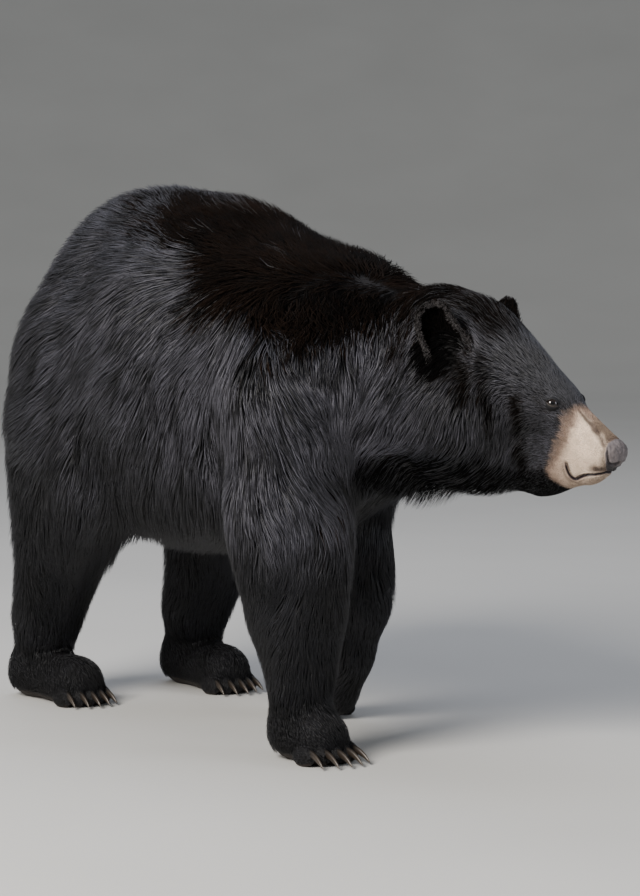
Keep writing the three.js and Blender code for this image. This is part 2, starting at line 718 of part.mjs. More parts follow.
// ---------------------------------------------------------------- torso, neck and tail
function trunkNodes() {
  const torsoNet = wrap(core, [-640, -400, 200], [450, 400, 1000], TORSO_CELL);
  const neckNet = wrap(core, [350, -320, 330], [640, 320, 880], NECK_CELL);
  const tail = (grow) => rope(TAIL.path, TAIL.radii.map((r) => r + grow), 10, TAIL.squash);
  let torso = netSolid(torsoNet)
    .add(locks)
    .subtract(tail(GAP))
    .intersect(behind(NECK_CUT.point, NECK_CUT.normal));
  let neck = netSolid(neckNet)
    .add(locks)
    .intersect(ahead(shifted(NECK_CUT.point, NECK_CUT.normal, GAP), NECK_CUT.normal))
    .intersect(behind(HEAD_CUT.point, HEAD_CUT.normal));
  for (const leg of Object.values(legs)) torso = torso.subtract(leg.space(GAP));
  for (const leg of [legs.front_right, legs.front_left]) neck = neck.subtract(leg.space(GAP));
  return [node("torso", torso, furBlack), node("neck", neck, furBlack), node("tail", tail(0), furBlack)];
}

// ---------------------------------------------------------------- legs, paws and claws
/** A curved claw from its root, growing from radius to a point. */
function claw(root, aim, length, radius, grow) {
  const [ax, ay, az] = aim;
  const drop = length * 0.34;
  const path = [-0.4, 0.12, 0.6].map((t) => [
    root[0] + ax * length * t,
    root[1] + ay * length * t,
    root[2] + az * length * t + drop * (0.3 * t - t * t),
  ]);
  const radii = [1, 0.96, 0.55].map((t) => radius * t + grow);
  const rings = path.map((p, i) => {
    const side = new THREE.Vector3(-ay, ax, 0).normalize();
    const next = path[Math.min(i + 1, 2)];
    const last = path[Math.max(i - 1, 0)];
    const along = new THREE.Vector3(next[0] - last[0], next[1] - last[1], next[2] - last[2]).normalize();
    return {
      at: new THREE.Vector3(...p),
      side,
      lift: new THREE.Vector3().crossVectors(along, side).normalize(),
      wide: radii[i] * 0.62,
      high: radii[i],
      along,
    };
  });
  const tip = new THREE.Vector3(
    root[0] + ax * length,
    root[1] + ay * length,
    root[2] + az * length - drop * 0.62,
  ).addScaledVector(rings[2].along, grow);
  const from = rings[0].at.clone().addScaledVector(rings[0].along, -grow);
  return loft(rings, ringCorners(4), from, tip);
}

function legNodes(name) {
  const leg = legs[name];
  const { toe, aim, clawLength, spread } = PAWS[name];
  const limbNet = wrap(core, leg.box[0], leg.box[1], LEG_CELL);
  const upper = netSolid(limbNet)
    .add(locks)
    .intersect(leg.space(0))
    .intersect(ahead([0, 0, leg.cut + GAP], [0, 0, 1]));

  const low = [Math.min(PAWS[name].heel[0], toe[0]) - 110, toe[1] - 110, -60];
  const high = [Math.max(PAWS[name].heel[0], toe[0]) + 110, toe[1] + 110, leg.cut + 40];
  let paw = netSolid(wrap(core, low, high, PAW_CELL));
  const claws = [];
  for (let n = 0; n < TOES; n += 1) {
    const share = n / (TOES - 1) - 0.5;
    const reach = 34 - 64 * share * share;
    const at = [toe[0] + Math.sign(aim[0]) * reach * Math.abs(aim[0]), toe[1] + share * spread, TOE_HEIGHT];
    const place = new THREE.Matrix4().makeTranslation(...at);
    paw = paw.add(bead(TOE_RADIUS, [1.5, 0.92, 1.05], place, 7, 5));
    const root = [at[0] + Math.sign(aim[0]) * 20, at[1], at[2] + 6];
    const turned = [aim[0], share * 0.18, aim[2]];
    paw = paw.subtract(claw(root, turned, clawLength, CLAW_RADIUS, GAP));
    claws.push(node(`claw_${name}_${n + 1}`, claw(root, turned, clawLength, CLAW_RADIUS, 0), clawHorn));
  }
  paw = paw.intersect(behind([0, 0, leg.cut], [0, 0, 1])).intersect(ahead([0, 0, 0], [0, 0, 1]));
  return [node(`leg_${name}`, upper, furBlack), node(`paw_${name}`, paw, furBlack), ...claws];
}

// ---------------------------------------------------------------- head, muzzle, nose, ears and eyes
const across = (side, [f, s, u]) => [f, side * s, u];

/** The cup of an ear: an outer and an inner sheet joined at the rim, in the head's frame. */
function earCup(side) {
  const lean = new THREE.Vector3(...across(side, EAR.lean)).normalize();
  const broad = new THREE.Vector3(...across(side, EAR.broad));
  broad.addScaledVector(lean, -broad.dot(lean)).normalize();
  const open = new THREE.Vector3().crossVectors(lean, broad).normalize();
  if (open.y * side < 0) open.negate();
  const sheets = [0, EAR.thick].map((thick) =>
    EAR.rows.map(([t, half, deep]) =>
      Array.from({ length: EAR.columns + 1 }, (_, i) => {
        const turn = (i / EAR.columns - 0.5) * Math.PI * 0.96;
        return new THREE.Vector3(...across(side, EAR.base))
          .addScaledVector(lean, EAR.height * t - thick * t)
          .addScaledVector(broad, (half - thick) * Math.sin(turn))
          .addScaledVector(open, -(deep - thick * 0.8) * Math.cos(turn))
          .toArray();
      }),
    ),
  );
  const rows = EAR.rows.length;
  const columns = EAR.columns + 1;
  const id = (sheet, r, c) => (sheet * rows + r) * columns + c;
  const index = [];
  const face = (a, b, c, d) => index.push(a, b, c, a, c, d);
  for (let r = 0; r + 1 < rows; r += 1)
    for (let c = 0; c + 1 < columns; c += 1) {
      face(id(0, r, c), id(0, r, c + 1), id(0, r + 1, c + 1), id(0, r + 1, c));
      face(id(1, r, c), id(1, r + 1, c), id(1, r + 1, c + 1), id(1, r, c + 1));
    }
  for (let r = 0; r + 1 < rows; r += 1) {
    face(id(0, r, 0), id(0, r + 1, 0), id(1, r + 1, 0), id(1, r, 0));
    face(id(0, r, columns - 1), id(1, r, columns - 1), id(1, r + 1, columns - 1), id(0, r + 1, columns - 1));
  }
  for (let c = 0; c + 1 < columns; c += 1) {
    face(id(0, 0, c), id(1, 0, c), id(1, 0, c + 1), id(0, 0, c + 1));
    face(id(0, rows - 1, c), id(0, rows - 1, c + 1), id(1, rows - 1, c + 1), id(1, rows - 1, c));
  }
  const points = sheets.flat(2);
  const made = solidOf(points, index);
  if (made.volume() >= 0) return made;
  const turned = [];
  for (let i = 0; i < index.length; i += 3) turned.push(index[i], index[i + 2], index[i + 1]);
  return solidOf(points, turned);
}

/** Where a line from inside the head, going sideways, leaves it. */
function skinAt(side, f, u) {
  let s = 10;
  while (headField(f, side * s, u) < 0 && s < 200) s += 0.25;
  const { n } = slopeAt(headField, [f, side * s, u]);
  return { at: new THREE.Vector3(f, side * s, u), out: new THREE.Vector3(...n) };
}

function headNodes() {
  const place = (shape) => shape.transform(headMatrix.elements);
  const headNet = wrap(headField, [-120, -220, -280], [290, 220, 120], HEAD_CELL);
  const muzzleNet = wrap(headField, [190, -120, -220], [390, 120, 80], MUZZLE_CELL);
  const noseNet = wrap(headField, [280, -70, -110], [380, 70, 50], NOSE_CELL);
  let head = netSolid(headNet);
  const made = [];

  for (const side of [-1, 1]) {
    const { at, out } = skinAt(side, EYE.along, EYE.up);
    const centre = at.clone().addScaledVector(out, EYE.proud - EYE.radius);
    const facing = new THREE.Quaternion().setFromUnitVectors(new THREE.Vector3(0, 0, 1), out);
    const spin = new THREE.Quaternion().setFromAxisAngle(out, side * EYE.slant);
    const whole = (grow) =>
      bead(EYE.radius + grow, [1, 1, 1], new THREE.Matrix4().makeTranslation(...centre.toArray()), 10, 7);
    const lids = new THREE.TorusGeometry(EYE.lidRing, EYE.lidThick, 4, 10).scale(1.18, 0.84, 1);
    const lidPlace = new THREE.Matrix4().compose(
      at.clone().addScaledVector(out, EYE.lidLift),
      spin.multiply(facing),
      new THREE.Vector3(1, 1, 1),
    );
    head = head.add(solid(lids, lidPlace)).subtract(whole(GAP));
    const name = side < 0 ? "right" : "left";
    made.push(node(`eye_${name}`, place(whole(0)), eyeBrown));
    const ear = earCup(side).subtract(netSolid(headNet, GAP));
    made.push(node(`ear_${name}`, place(ear), furBlack));
  }

  const muzzleBack = ahead(shifted(MUZZLE_CUT.point, MUZZLE_CUT.normal, GAP), MUZZLE_CUT.normal);
  let muzzle = netSolid(muzzleNet);
  for (const side of [-1, 1]) {
    const line = MOUTH.map((p) => across(side, p));
    muzzle = muzzle.subtract(rope(line, MOUTH.map(() => MOUTH_DEPTH), 6));
    const lip = UPPER_LIP.map((p) => across(side, p));
    muzzle = muzzle.add(rope(lip, UPPER_LIP.map(() => LIP_RADIUS), 6));
  }
  muzzle = muzzle.intersect(muzzleBack).intersect(behind(NOSE_CUT.point, NOSE_CUT.normal));
  let nose = netSolid(noseNet).intersect(ahead(shifted(NOSE_CUT.point, NOSE_CUT.normal, GAP), NOSE_CUT.normal));
  for (const side of [-1, 1]) {
    nose = nose.subtract(rope(NOSTRIL.path.map((p) => across(side, p)), NOSTRIL.radii, 7));
  }
  nose = nose.subtract(rope(PHILTRUM, [2.2, 2.2, 2.2], 5));
  head = head.intersect(behind(MUZZLE_CUT.point, MUZZLE_CUT.normal));
  head = place(head).add(locks).intersect(ahead(shifted(HEAD_CUT.point, HEAD_CUT.normal, GAP), HEAD_CUT.normal));
  made.push(
    node("head", head, furBlack),
    node("muzzle", place(muzzle), furTan),
    node("nose", place(nose), noseLeather),
  );
  return made;
}

animal.add(...trunkNodes(), ...headNodes(), ...Object.keys(legs).flatMap(legNodes));

const box = new THREE.Box3().setFromObject(animal);
const middle = box.getCenter(new THREE.Vector3());
animal.position.set(-middle.x, -middle.y, -box.min.z);

export default animal;
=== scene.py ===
"""Looks of an adult black bear: one skin with a modelled face, a coat of tufts, ears, eyes and claws.

Sizes are in millimetres in the animal's own frame, with +X forwards, +Y to its left, +Z up and the
soles on z = 0, and points are rows in that frame unless their function says the head's. ``to_scene``
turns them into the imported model's metres.
"""

import json
import logging
import math
from collections.abc import Callable
from dataclasses import dataclass, field
from enum import Enum, IntEnum
from typing import ClassVar

import bmesh
import bpy
import numpy as np
from mathutils import Matrix, Vector
from mathutils.kdtree import KDTree

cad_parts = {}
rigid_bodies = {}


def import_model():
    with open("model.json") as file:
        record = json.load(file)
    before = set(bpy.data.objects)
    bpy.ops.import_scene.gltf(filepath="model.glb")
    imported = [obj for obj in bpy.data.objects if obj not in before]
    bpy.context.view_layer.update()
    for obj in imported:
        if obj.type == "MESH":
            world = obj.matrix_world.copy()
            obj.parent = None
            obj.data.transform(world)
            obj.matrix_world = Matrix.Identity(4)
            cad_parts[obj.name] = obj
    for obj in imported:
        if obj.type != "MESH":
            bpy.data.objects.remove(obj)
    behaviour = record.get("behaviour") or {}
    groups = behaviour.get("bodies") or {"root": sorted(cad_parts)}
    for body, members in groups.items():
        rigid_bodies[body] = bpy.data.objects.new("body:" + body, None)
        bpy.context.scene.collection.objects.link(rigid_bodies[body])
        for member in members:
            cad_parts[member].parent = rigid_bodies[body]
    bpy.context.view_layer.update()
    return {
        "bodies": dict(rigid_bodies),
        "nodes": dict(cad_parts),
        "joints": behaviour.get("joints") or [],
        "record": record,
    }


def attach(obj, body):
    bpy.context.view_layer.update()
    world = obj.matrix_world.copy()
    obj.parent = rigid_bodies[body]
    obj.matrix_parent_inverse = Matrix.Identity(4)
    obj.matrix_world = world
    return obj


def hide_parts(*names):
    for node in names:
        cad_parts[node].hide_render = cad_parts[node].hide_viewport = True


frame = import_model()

log = logging.getLogger("bear")

Array = np.ndarray
Pair = tuple[Array, Array]
Shares = dict[str, Array]
Span = tuple[float, float]
Point = tuple[float, float, float]
Material, Mesh, Object = bpy.types.Material, bpy.types.Mesh, bpy.types.Object
Node, Socket, Modelled = bpy.types.Node, bpy.types.NodeSocket, bmesh.types.BMesh
MM = 1000.0  # millimetres in a metre
SHIFT = np.array([-115.153, -2.3, 0.0])  # from the animal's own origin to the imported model's
SEED = 11
SIDES = {"right": -1, "left": 1}


# ---- small helpers
def to_scene(p: Array) -> Array:
    """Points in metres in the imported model's frame."""
    return (p + SHIFT) / MM


def smooth(v: Array, low: float, high: float) -> Array:
    """A soft step from 0 at low to 1 at high."""
    t = np.clip((v - low) / (high - low), 0.0, 1.0)
    return t * t * (3.0 - 2.0 * t)


def mix(a: Array, b: Array | Point | float, share: Array) -> Array:
    """a and b blended by share, for rows of points or plain numbers."""
    w = share[:, None] if np.ndim(a) == 2 else share
    return a + (np.asarray(b) - a) * w


def bell(v: Array, middle: float, half: float) -> Array:
    """A soft bump that is 1 at the middle and has nearly ended at twice its half breadth."""
    return np.exp(-(((v - middle) / half) ** 2))


def unit(v: Array) -> Array:
    """Rows of v scaled to length one."""
    return v / np.maximum(np.linalg.norm(v, axis=1, keepdims=True), 1e-9)


def off_path(p: Array, path: list[Point], radii: list[float] | None = None) -> Pair:
    """How far points are from a path.

    Args:
        p: Points, one a row.
        path: Corners of the path.
        radii: A radius at each corner, or none for zero.

    Returns:
        The distance to the path, and the path's radius at the nearest place.
    """
    best = np.full(len(p), 1e9)
    width = np.zeros(len(p))
    sizes = radii or [0.0] * len(path)
    for i in range(len(path) - 1):
        a, b = np.array(path[i]), np.array(path[i + 1])
        t = np.clip((p - a) @ (b - a) / ((b - a) @ (b - a)), 0, 1)
        far = np.linalg.norm(p - a - t[:, None] * (b - a), axis=1)
        near = far < best
        best = np.where(near, far, best)
        width = np.where(near, sizes[i] + (sizes[i + 1] - sizes[i]) * t, width)
    return best, width


def mirrored(h: Array) -> Array:
    """Points of the head's frame, all brought to its left side."""
    return h * [1, 0, 1] + np.abs(h) * [0, 1, 0]


def nearest(places: Array, wanted: Array) -> Pair:
    """Finds the nearest of some places to each wanted point.

    Args:
        places: The places, one a row.
        wanted: The points, one a row.

    Returns:
        The number of the nearest place, and how far off it is, for each point.
    """
    tree = KDTree(len(places))
    for i, at in enumerate(places):
        tree.insert(at, i)
    tree.balance()
    found = [tree.find(at) for at in wanted]
    return np.array([row[1] for row in found]), np.array([row[2] for row in found])


@dataclass(frozen=True)
class Ripple:
    """Smooth seeded noise between about -1 and 1, as a sum of waves of one length."""

    seed: int
    wave: float
    count: int = 7
    spread: Span = (0.6, 1.5)  # of the waves' own lengths

    def at(self, p: Array) -> Array:
        """The noise at each point.

        Args:
            p: Points anywhere, one a row.

        Returns:
            The noise at each.
        """
        rng = np.random.default_rng(self.seed)
        turns = unit(rng.normal(size=(self.count, 3))) * (2 * math.pi / self.wave)
        turns *= rng.uniform(*self.spread, (self.count, 1))
        phase = rng.uniform(0, 2 * math.pi, self.count)
        return np.sin(p @ turns.T + phase).sum(axis=1) / math.sqrt(self.count)


# ---- the animal's form
@dataclass(frozen=True)
class Ball:
    """An ellipsoid with the depth of hair over it."""

    centre: Point
    half: Point
    coat: float = 0.0

    def distance(self, p: Array, shave: Array | float) -> Array:
        """Distance from the surface, with shave's share of the hair taken off.

        Args:
            p: Points in the form's frame, one a row.
            shave: The share of the hair to take off.

        Returns:
            The distance of each, less than 0 inside.
        """
        size = [h - self.coat * shave for h in self.half]
        q = [(p[:, i] - self.centre[i]) / size[i] for i in range(3)]
        near = np.sqrt(q[0] ** 2 + q[1] ** 2 + q[2] ** 2)
        slope = np.sqrt(sum((q[i] / size[i]) ** 2 for i in range(3)))
        return near * (near - 1) / np.maximum(slope, 1e-6)

    def shape(self, bm: Modelled, place: Matrix, shave: float) -> None:
        """Adds a rough sphere of the form's size."""
        size = Matrix.Diagonal([h - self.coat * shave for h in self.half] + [1.0])
        bmesh.ops.create_icosphere(
            bm, subdivisions=3, radius=1.0, matrix=place @ Matrix.Translation(self.centre) @ size
        )


@dataclass(frozen=True)
class Limb:
    """A round limb from start to end, narrower across where flat is under 1."""

    start: Point
    end: Point
    radii: Span
    coat: float = 0.0
    flat: float = 1.0

    def distance(self, p: Array, shave: Array | float) -> Array:
        """Distance from the surface, with shave's share of the hair taken off.

        Args:
            p: Points in the form's frame, one a row.
            shave: The share of the hair to take off.

        Returns:
            The distance of each, less than 0 inside.
        """
        squash = np.array([1.0, self.flat, 1.0])
        d = (np.array(self.end) - self.start) / squash
        q = (p - self.start) / squash
        t = np.clip(q @ d / (d @ d), 0, 1)
        far = np.linalg.norm(q - t[:, None] * d, axis=1)
        return far - (self.radii[0] + (self.radii[1] - self.radii[0]) * t) + self.coat * shave

    def shape(self, bm: Modelled, place: Matrix, shave: float) -> None:
        """Adds a rough cone with a ball at each end.

        Args:
            bm: The mesh that it is added to.
            place: The frame that the form stands in.
            shave: The share of the hair to take off.
        """
        a, b = Vector(self.start), Vector(self.end)
        r = [v - self.coat * shave for v in self.radii]
        turn = (b - a).to_track_quat("Z", "Y").to_matrix().to_4x4()
        bmesh.ops.create_cone(
            bm, cap_ends=True, segments=24, radius1=r[0], radius2=r[1], depth=(b - a).length,
            matrix=place @ Matrix.Translation((a + b) / 2) @ turn,
        )
        for at, radius in ((a, r[0]), (b, r[1])):
            bmesh.ops.create_icosphere(
                bm, subdivisions=3, radius=radius, matrix=place @ Matrix.Translation(at)
            )


Form = Ball | Limb


@dataclass(frozen=True)
class Paw:
    """One foot: where its heel and toes are, and which way its claws aim."""

    ankle: Point
    heel: Point
    toe: Point
    aim: Point
    claw: float
    spread: float
    radius: float = 48.0
    toe_radius: float = 17.0
    toe_height: float = 15.0
    toes: int = 5

    def toe_places(self) -> list[tuple[float, Point]]:
        """Each toe's share across the foot, and its middle.

        Returns:
            The share and the middle of each toe, from one side to the other.
        """
        made = []
        for n in range(self.toes):
            share = n / (self.toes - 1) - 0.5
            reach = (34 - 64 * share * share) * self.aim[0]
            made.append((share, (self.toe[0] + reach, self.toe[1] + share * self.spread, self.toe_height)))
        return made

    def forms(self) -> list[Form]:
        """The foot from the ankle to the ball of the toes."""
        front = (self.toe[0], self.toe[1], self.toe[2] + 6)
        return [
            Limb(self.ankle, self.heel, (53, self.radius - 2), 10),
            Limb(self.heel, front, (self.radius, self.radius + 2), 8),
        ]

    def toe_forms(self) -> list[Form]:
        """The toes themselves."""
        r = self.toe_radius
        return [Ball(at, (r * 1.55, r * 0.74, r * 1.1), 2) for _, at in self.toe_places()]


class Anatomy:
    """The animal's smooth form, as distances from named bones, muscle and hair."""

    back, flank, belly, neck_coat, thigh, arm, shank, cheek = 34, 40, 58, 40, 34, 30, 16, 26
    nape = np.array([552.0, 40.0, 700.0])
    nose_ball = Ball((315.5, 0, -28), (18.8, 27.5, 20))
    yaw, pitch = math.radians(21), math.radians(34)
    head_fillet = 60.0
    probe = 0.6  # how far apart two distances are taken to find a direction
    tail_path = [(-462, 0, 712), (-496, 0, 700), (-528, 0, 670), (-546, 0, 628), (-550, 0, 584)]
    tail_radii = [38, 44, 42, 34, 18]
    fore = {
        "right": ((350, -136, 560), (336, -154, 400), (346, -138, 142)),
        "left": ((262, 130, 560), (48, 134, 440), (140, 128, 204)),
    }
    hind = {
        "right": ((-300, -132, 600), (-214, -168, 430), (-412, -150, 150)),
        "left": ((-300, 132, 600), (-200, 170, 430), (-372, 142, 150)),
    }
    paws = {
        "front_right": Paw((346, -138, 142), (340, -136, 44), (388, -133, 30), (0.94, 0, -0.2), 40, 84),
        "front_left": Paw((140, 128, 204), (104, 128, 118), (64, 128, 40), (-0.8, 0, -0.3), 36, 80),
        "hind_right": Paw((-412, -150, 150), (-444, -154, 44), (-318, -148, 30), (0.94, 0, -0.3), 30, 80),
        "hind_left": Paw((-372, 142, 150), (-408, 146, 44), (-282, 140, 30), (0.94, 0, -0.3), 30, 80),
    }

    def __init__(self) -> None:
        """Gathers the forms and the head's own frame."""
        cy, sy = math.cos(self.yaw), math.sin(self.yaw)
        cp, sp = math.cos(self.pitch), math.sin(self.pitch)
        about_z = np.array([[cy, -sy, 0], [sy, cy, 0], [0, 0, 1]])
        about_y = np.array([[cp, 0, sp], [0, 1, 0], [-sp, 0, cp]])
        self.turn = about_z @ about_y
        self.body = [
            (70.0, self.trunk()), (70.0, self.shoulders()), (60.0, self.neck()),
            (60.0, self.fore_legs() + self.hind_legs()),
            (30.0, [f for paw in self.paws.values() for f in paw.forms()]),
            (6.0, [f for paw in self.paws.values() for f in paw.toe_forms()]),
            (30.0, self.tail()),
        ]
        self.head = [(34.0, self.skull()), (26.0, self.snout()), (9.0, [self.nose_ball])]

    def trunk(self) -> list[Form]:
        """Rump, barrel, chest and belly."""
        low = [Limb((-170, s * 78, 462), (110, s * 74, 452), (138, 132), self.belly) for s in (1, -1)]
        return [
            Ball((-288, 0, 625), (222, 226, 264), self.back),
            Ball((-60, 0, 596), (320, 272, 284), self.flank),
            Ball((196, 0, 574), (228, 222, 228), self.flank),
            Limb((-248, 0, 746), (-110, 0, 734), (154, 156), self.back),
            *low,
        ]

    def shoulders(self) -> list[Form]:
        """The shoulder blades."""
        return [Limb((205, s * 92, 680), (330, s * 134, 560), (100, 112), self.arm) for s in (1, -1)]

    def neck(self) -> list[Form]:
        """The neck and the throat below it."""
        return [
            Limb((320, 0, 600), (500, 28, 632), (178, 114), self.neck_coat, 0.96),
            Limb((380, 10, 540), (545, 38, 546), (120, 112), self.neck_coat, 0.95),
        ]

    def fore_legs(self) -> list[Form]:
        """Upper arm, point of the elbow, and forearm.

        Returns:
            The forms of both legs.
        """
        made: list[Form] = []
        for shoulder, elbow, wrist in self.fore.values():
            e, w = np.array(elbow), np.array(wrist)
            made += [
                Limb(shoulder, elbow, (116, 90), self.arm),
                Limb((elbow[0] - 46, elbow[1], elbow[2] + 6), tuple(e + (w - e) * 0.3), (50, 66), self.arm),
                Limb(tuple(e + (w - e) * 0.15), tuple(e + (w - e) * 0.62), (82, 76), self.shank),
                Limb(elbow, wrist, (84, 55), self.shank),
            ]
        return made

    def hind_legs(self) -> list[Form]:
        """Thigh, the back of the thigh, and shank.

        Returns:
            The forms of both legs.
        """
        made: list[Form] = []
        for hip, knee, ankle in self.hind.values():
            ham = ((hip[0] + knee[0]) / 2 - 64, (hip[1] + knee[1]) / 2, (hip[2] + knee[2]) / 2 - 40)
            made += [
                Limb(hip, knee, (136, 92), self.thigh),
                Limb(ham, ankle, (130, 52), self.thigh),
                Limb(knee, ankle, (84, 54), self.shank),
            ]
        return made

    def tail(self) -> list[Form]:
        """The short tail, length by length."""
        path, radii = self.tail_path, self.tail_radii
        return [Limb(path[i], path[i + 1], (radii[i], radii[i + 1]), 15) for i in range(len(path) - 1)]

    def skull(self) -> list[Form]:
        """Brow, crown, cheeks and the back of the jaw, in the head's frame.

        Returns:
            The forms.
        """
        pairs: list[Form] = []
        for s in (1, -1):
            pairs.append(Ball((76, s * 56, -92), (86, 56, 76), self.cheek))
            pairs.append(Ball((188, s * 31, -18), (30, 17, 15), 6))
        return [
            Ball((20, 0, -48), (108, 90, 80), 12),
            Ball((108, 0, -42), (94, 70, 68), 10),
            Limb((80, 0, -27), (180, 0, -34), (52, 34), 8),
            *pairs,
            Limb((-20, 0, -150), (140, 0, -148), (84, 60), self.cheek, 0.95),
        ]

    def snout(self) -> list[Form]:
        """Muzzle, lower jaw and chin, in the head's frame."""
        return [
            Limb((176, 0, -44), (294, 0, -42), (50, 37), 5, 0.98),
            Limb((150, 0, -130), (230, 0, -108), (58, 48), 6, 0.9),
            Limb((230, 0, -108), (296, 0, -74), (48, 23), 6, 0.9),
        ]

    def to_head(self, p: Array) -> Array:
        """Points in the head's frame: forwards, to the left, up."""
        return (p - self.nape) @ self.turn

    def to_body(self, h: Array) -> Array:
        """Points of the head's frame in the animal's frame."""
        return np.asarray(h) @ self.turn.T + self.nape

    def headness(self, p: Array) -> Array:
        """How much a place belongs to the head, from 0 to 1."""
        f, _, u = self.to_head(p).T
        return smooth(f, -90, -10) * smooth(u, -330, -260)

    @staticmethod
    def merge(a: Array, b: Array, soft: float) -> Array:
        """The smooth union of two distances, with a fillet of the given size."""
        h = np.maximum(soft - np.abs(a - b), 0) / soft
        return np.minimum(a, b) - h * h * soft / 4

    @staticmethod
    def gather(groups: list[tuple[float, list[Form]]], p: Array, shave: Array | float) -> Array:
        """The smooth union of groups of forms.

        Args:
            groups: The forms, with the softness of each group's fillets.
            p: Points in the forms' frame, one a row.
            shave: The share of the hair to take off.

        Returns:
            The distance of each point.
        """
        d = np.full(len(p), 1e6)
        for soft, forms in groups:
            for form in forms:
                d = Anatomy.merge(d, form.distance(p, shave), soft)
        return d

    def distance(self, p: Array, shave: Array | float = 0.0) -> Array:
        """Distance of points from the animal; shave is 0 at the hair's tips and 1 at the hide.

        Args:
            p: The points.
            shave: The share of the hair to take off.

        Returns:
            The distance of each, less than 0 inside.
        """
        a = self.gather(self.body, p, shave)
        b = self.gather(self.head, self.to_head(p), shave)
        return self.merge(a, b, self.head_fillet)

    def slope(self, p: Array, shave: Array | float = 0.0) -> Pair:
        """Distance and outward direction at points.

        Args:
            p: The points.
            shave: The share of the hair to take off.

        Returns:
            The distance of each, and its outward direction.
        """
        d = self.distance(p, shave)
        steps = np.eye(3) * self.probe
        g = np.stack([(self.distance(p + row, shave) - d) / self.probe for row in steps], axis=1)
        size = np.linalg.norm(g, axis=1) + 1e-9
        return d / size, g / size[:, None]

    def settle(self, p: Array, shave: Array | float, rounds: int = 2, most: float = 30.0) -> Pair:
        """Moves points onto a level of the coat.

        Args:
            p: The points.
            shave: The level, from 0 at the tips to 1 at the hide.
            rounds: How often each is moved.
            most: The longest move in a round.

        Returns:
            The moved points and the outward direction there.
        """
        for _ in range(rounds):
            d, n = self.slope(p, shave)
            p = p - n * np.clip(d, -most, most)[:, None]
        return p, n

    def placed(self) -> list[tuple[Matrix, Form]]:
        """Every form with the frame that it stands in.

        Returns:
            Each frame and its form.
        """
        head = Matrix.Translation(self.nape) @ Matrix(self.turn.tolist()).to_4x4()
        made = [(Matrix(), form) for _, forms in self.body for form in forms]
        return made + [(head, form) for _, forms in self.head for form in forms]


# ---- the face
class EarShape:
    """The cup of an ear in the head's frame: its place, and how wide and deep it is by height."""

    base = np.array([43.0, 97.0, -60.0])
    height = 102.0
    heights = [0, 0.12, 0.3, 0.5, 0.7, 0.8, 0.88, 0.94, 0.98, 1.0]
    rear = [19, 21, 24, 31, 33.5, 31.5, 28.5, 23, 17, 11]  # breadth behind the cup's middle at those heights
    front = [21, 28, 33, 33, 28.5, 24, 21, 18, 14, 9]
    depths = ([0, 0.3, 0.62, 0.86, 1], [22, 27, 22, 14, 7])
    flare = 18.0  # how much further forwards the front edge reaches at its foot
    flare_heights = (0.2, 0.75)
    wrap = 0.48 * math.pi  # how far the cup bends round to either side
    lean: Point = (-0.55, 0.16, 0.8)
    broad = {-1: (0.78, 0.5, 0.37), 1: (0.87, -0.37, 0.37)}

    @staticmethod
    def frame(side: int) -> Array:
        """Rows that point up the ear, towards its front edge and out of the cup.

        Args:
            side: -1 for the right ear and 1 for the left.

        Returns:
            The three directions, in the head's frame.
        """
        flip = np.array([1, side, 1])
        lean = unit(np.array([EarShape.lean]) * flip)[0]
        broad = np.array(EarShape.broad[side])
        broad = unit((broad - lean * (broad @ lean))[None])[0]
        out = np.cross(lean, broad)
        return np.stack([lean, broad, out * (1 if out[1] * side > 0 else -1)])

    @classmethod
    def at(cls, side: int, t: Array, turn: Array, inner: Array) -> Array:
        """Points of the cup in the head's frame.

        Args:
            side: -1 for the right ear and 1 for the left.
            t: Height, from 0 at the foot to 1.
            turn: From -1 at the rear edge to 1 at the front one.
            inner: Depth below the back of the cup.

        Returns:
            The points, one a row.
        """
        angle = turn * cls.wrap
        rear, front = np.interp(t, cls.heights, cls.rear), np.interp(t, cls.heights, cls.front)
        flare = cls.flare * np.clip(turn, 0, 1) ** 2 * (1 - smooth(t, *cls.flare_heights))
        across = (np.where(turn < 0, rear, front) - inner) * np.sin(angle) + flare
        deep = (np.interp(t, *cls.depths) - inner * 0.8) * np.cos(angle)
        q = np.stack([cls.height * t - inner * t, across, -deep], axis=1)
        return q @ cls.frame(side) + cls.base * [1, side, 1]


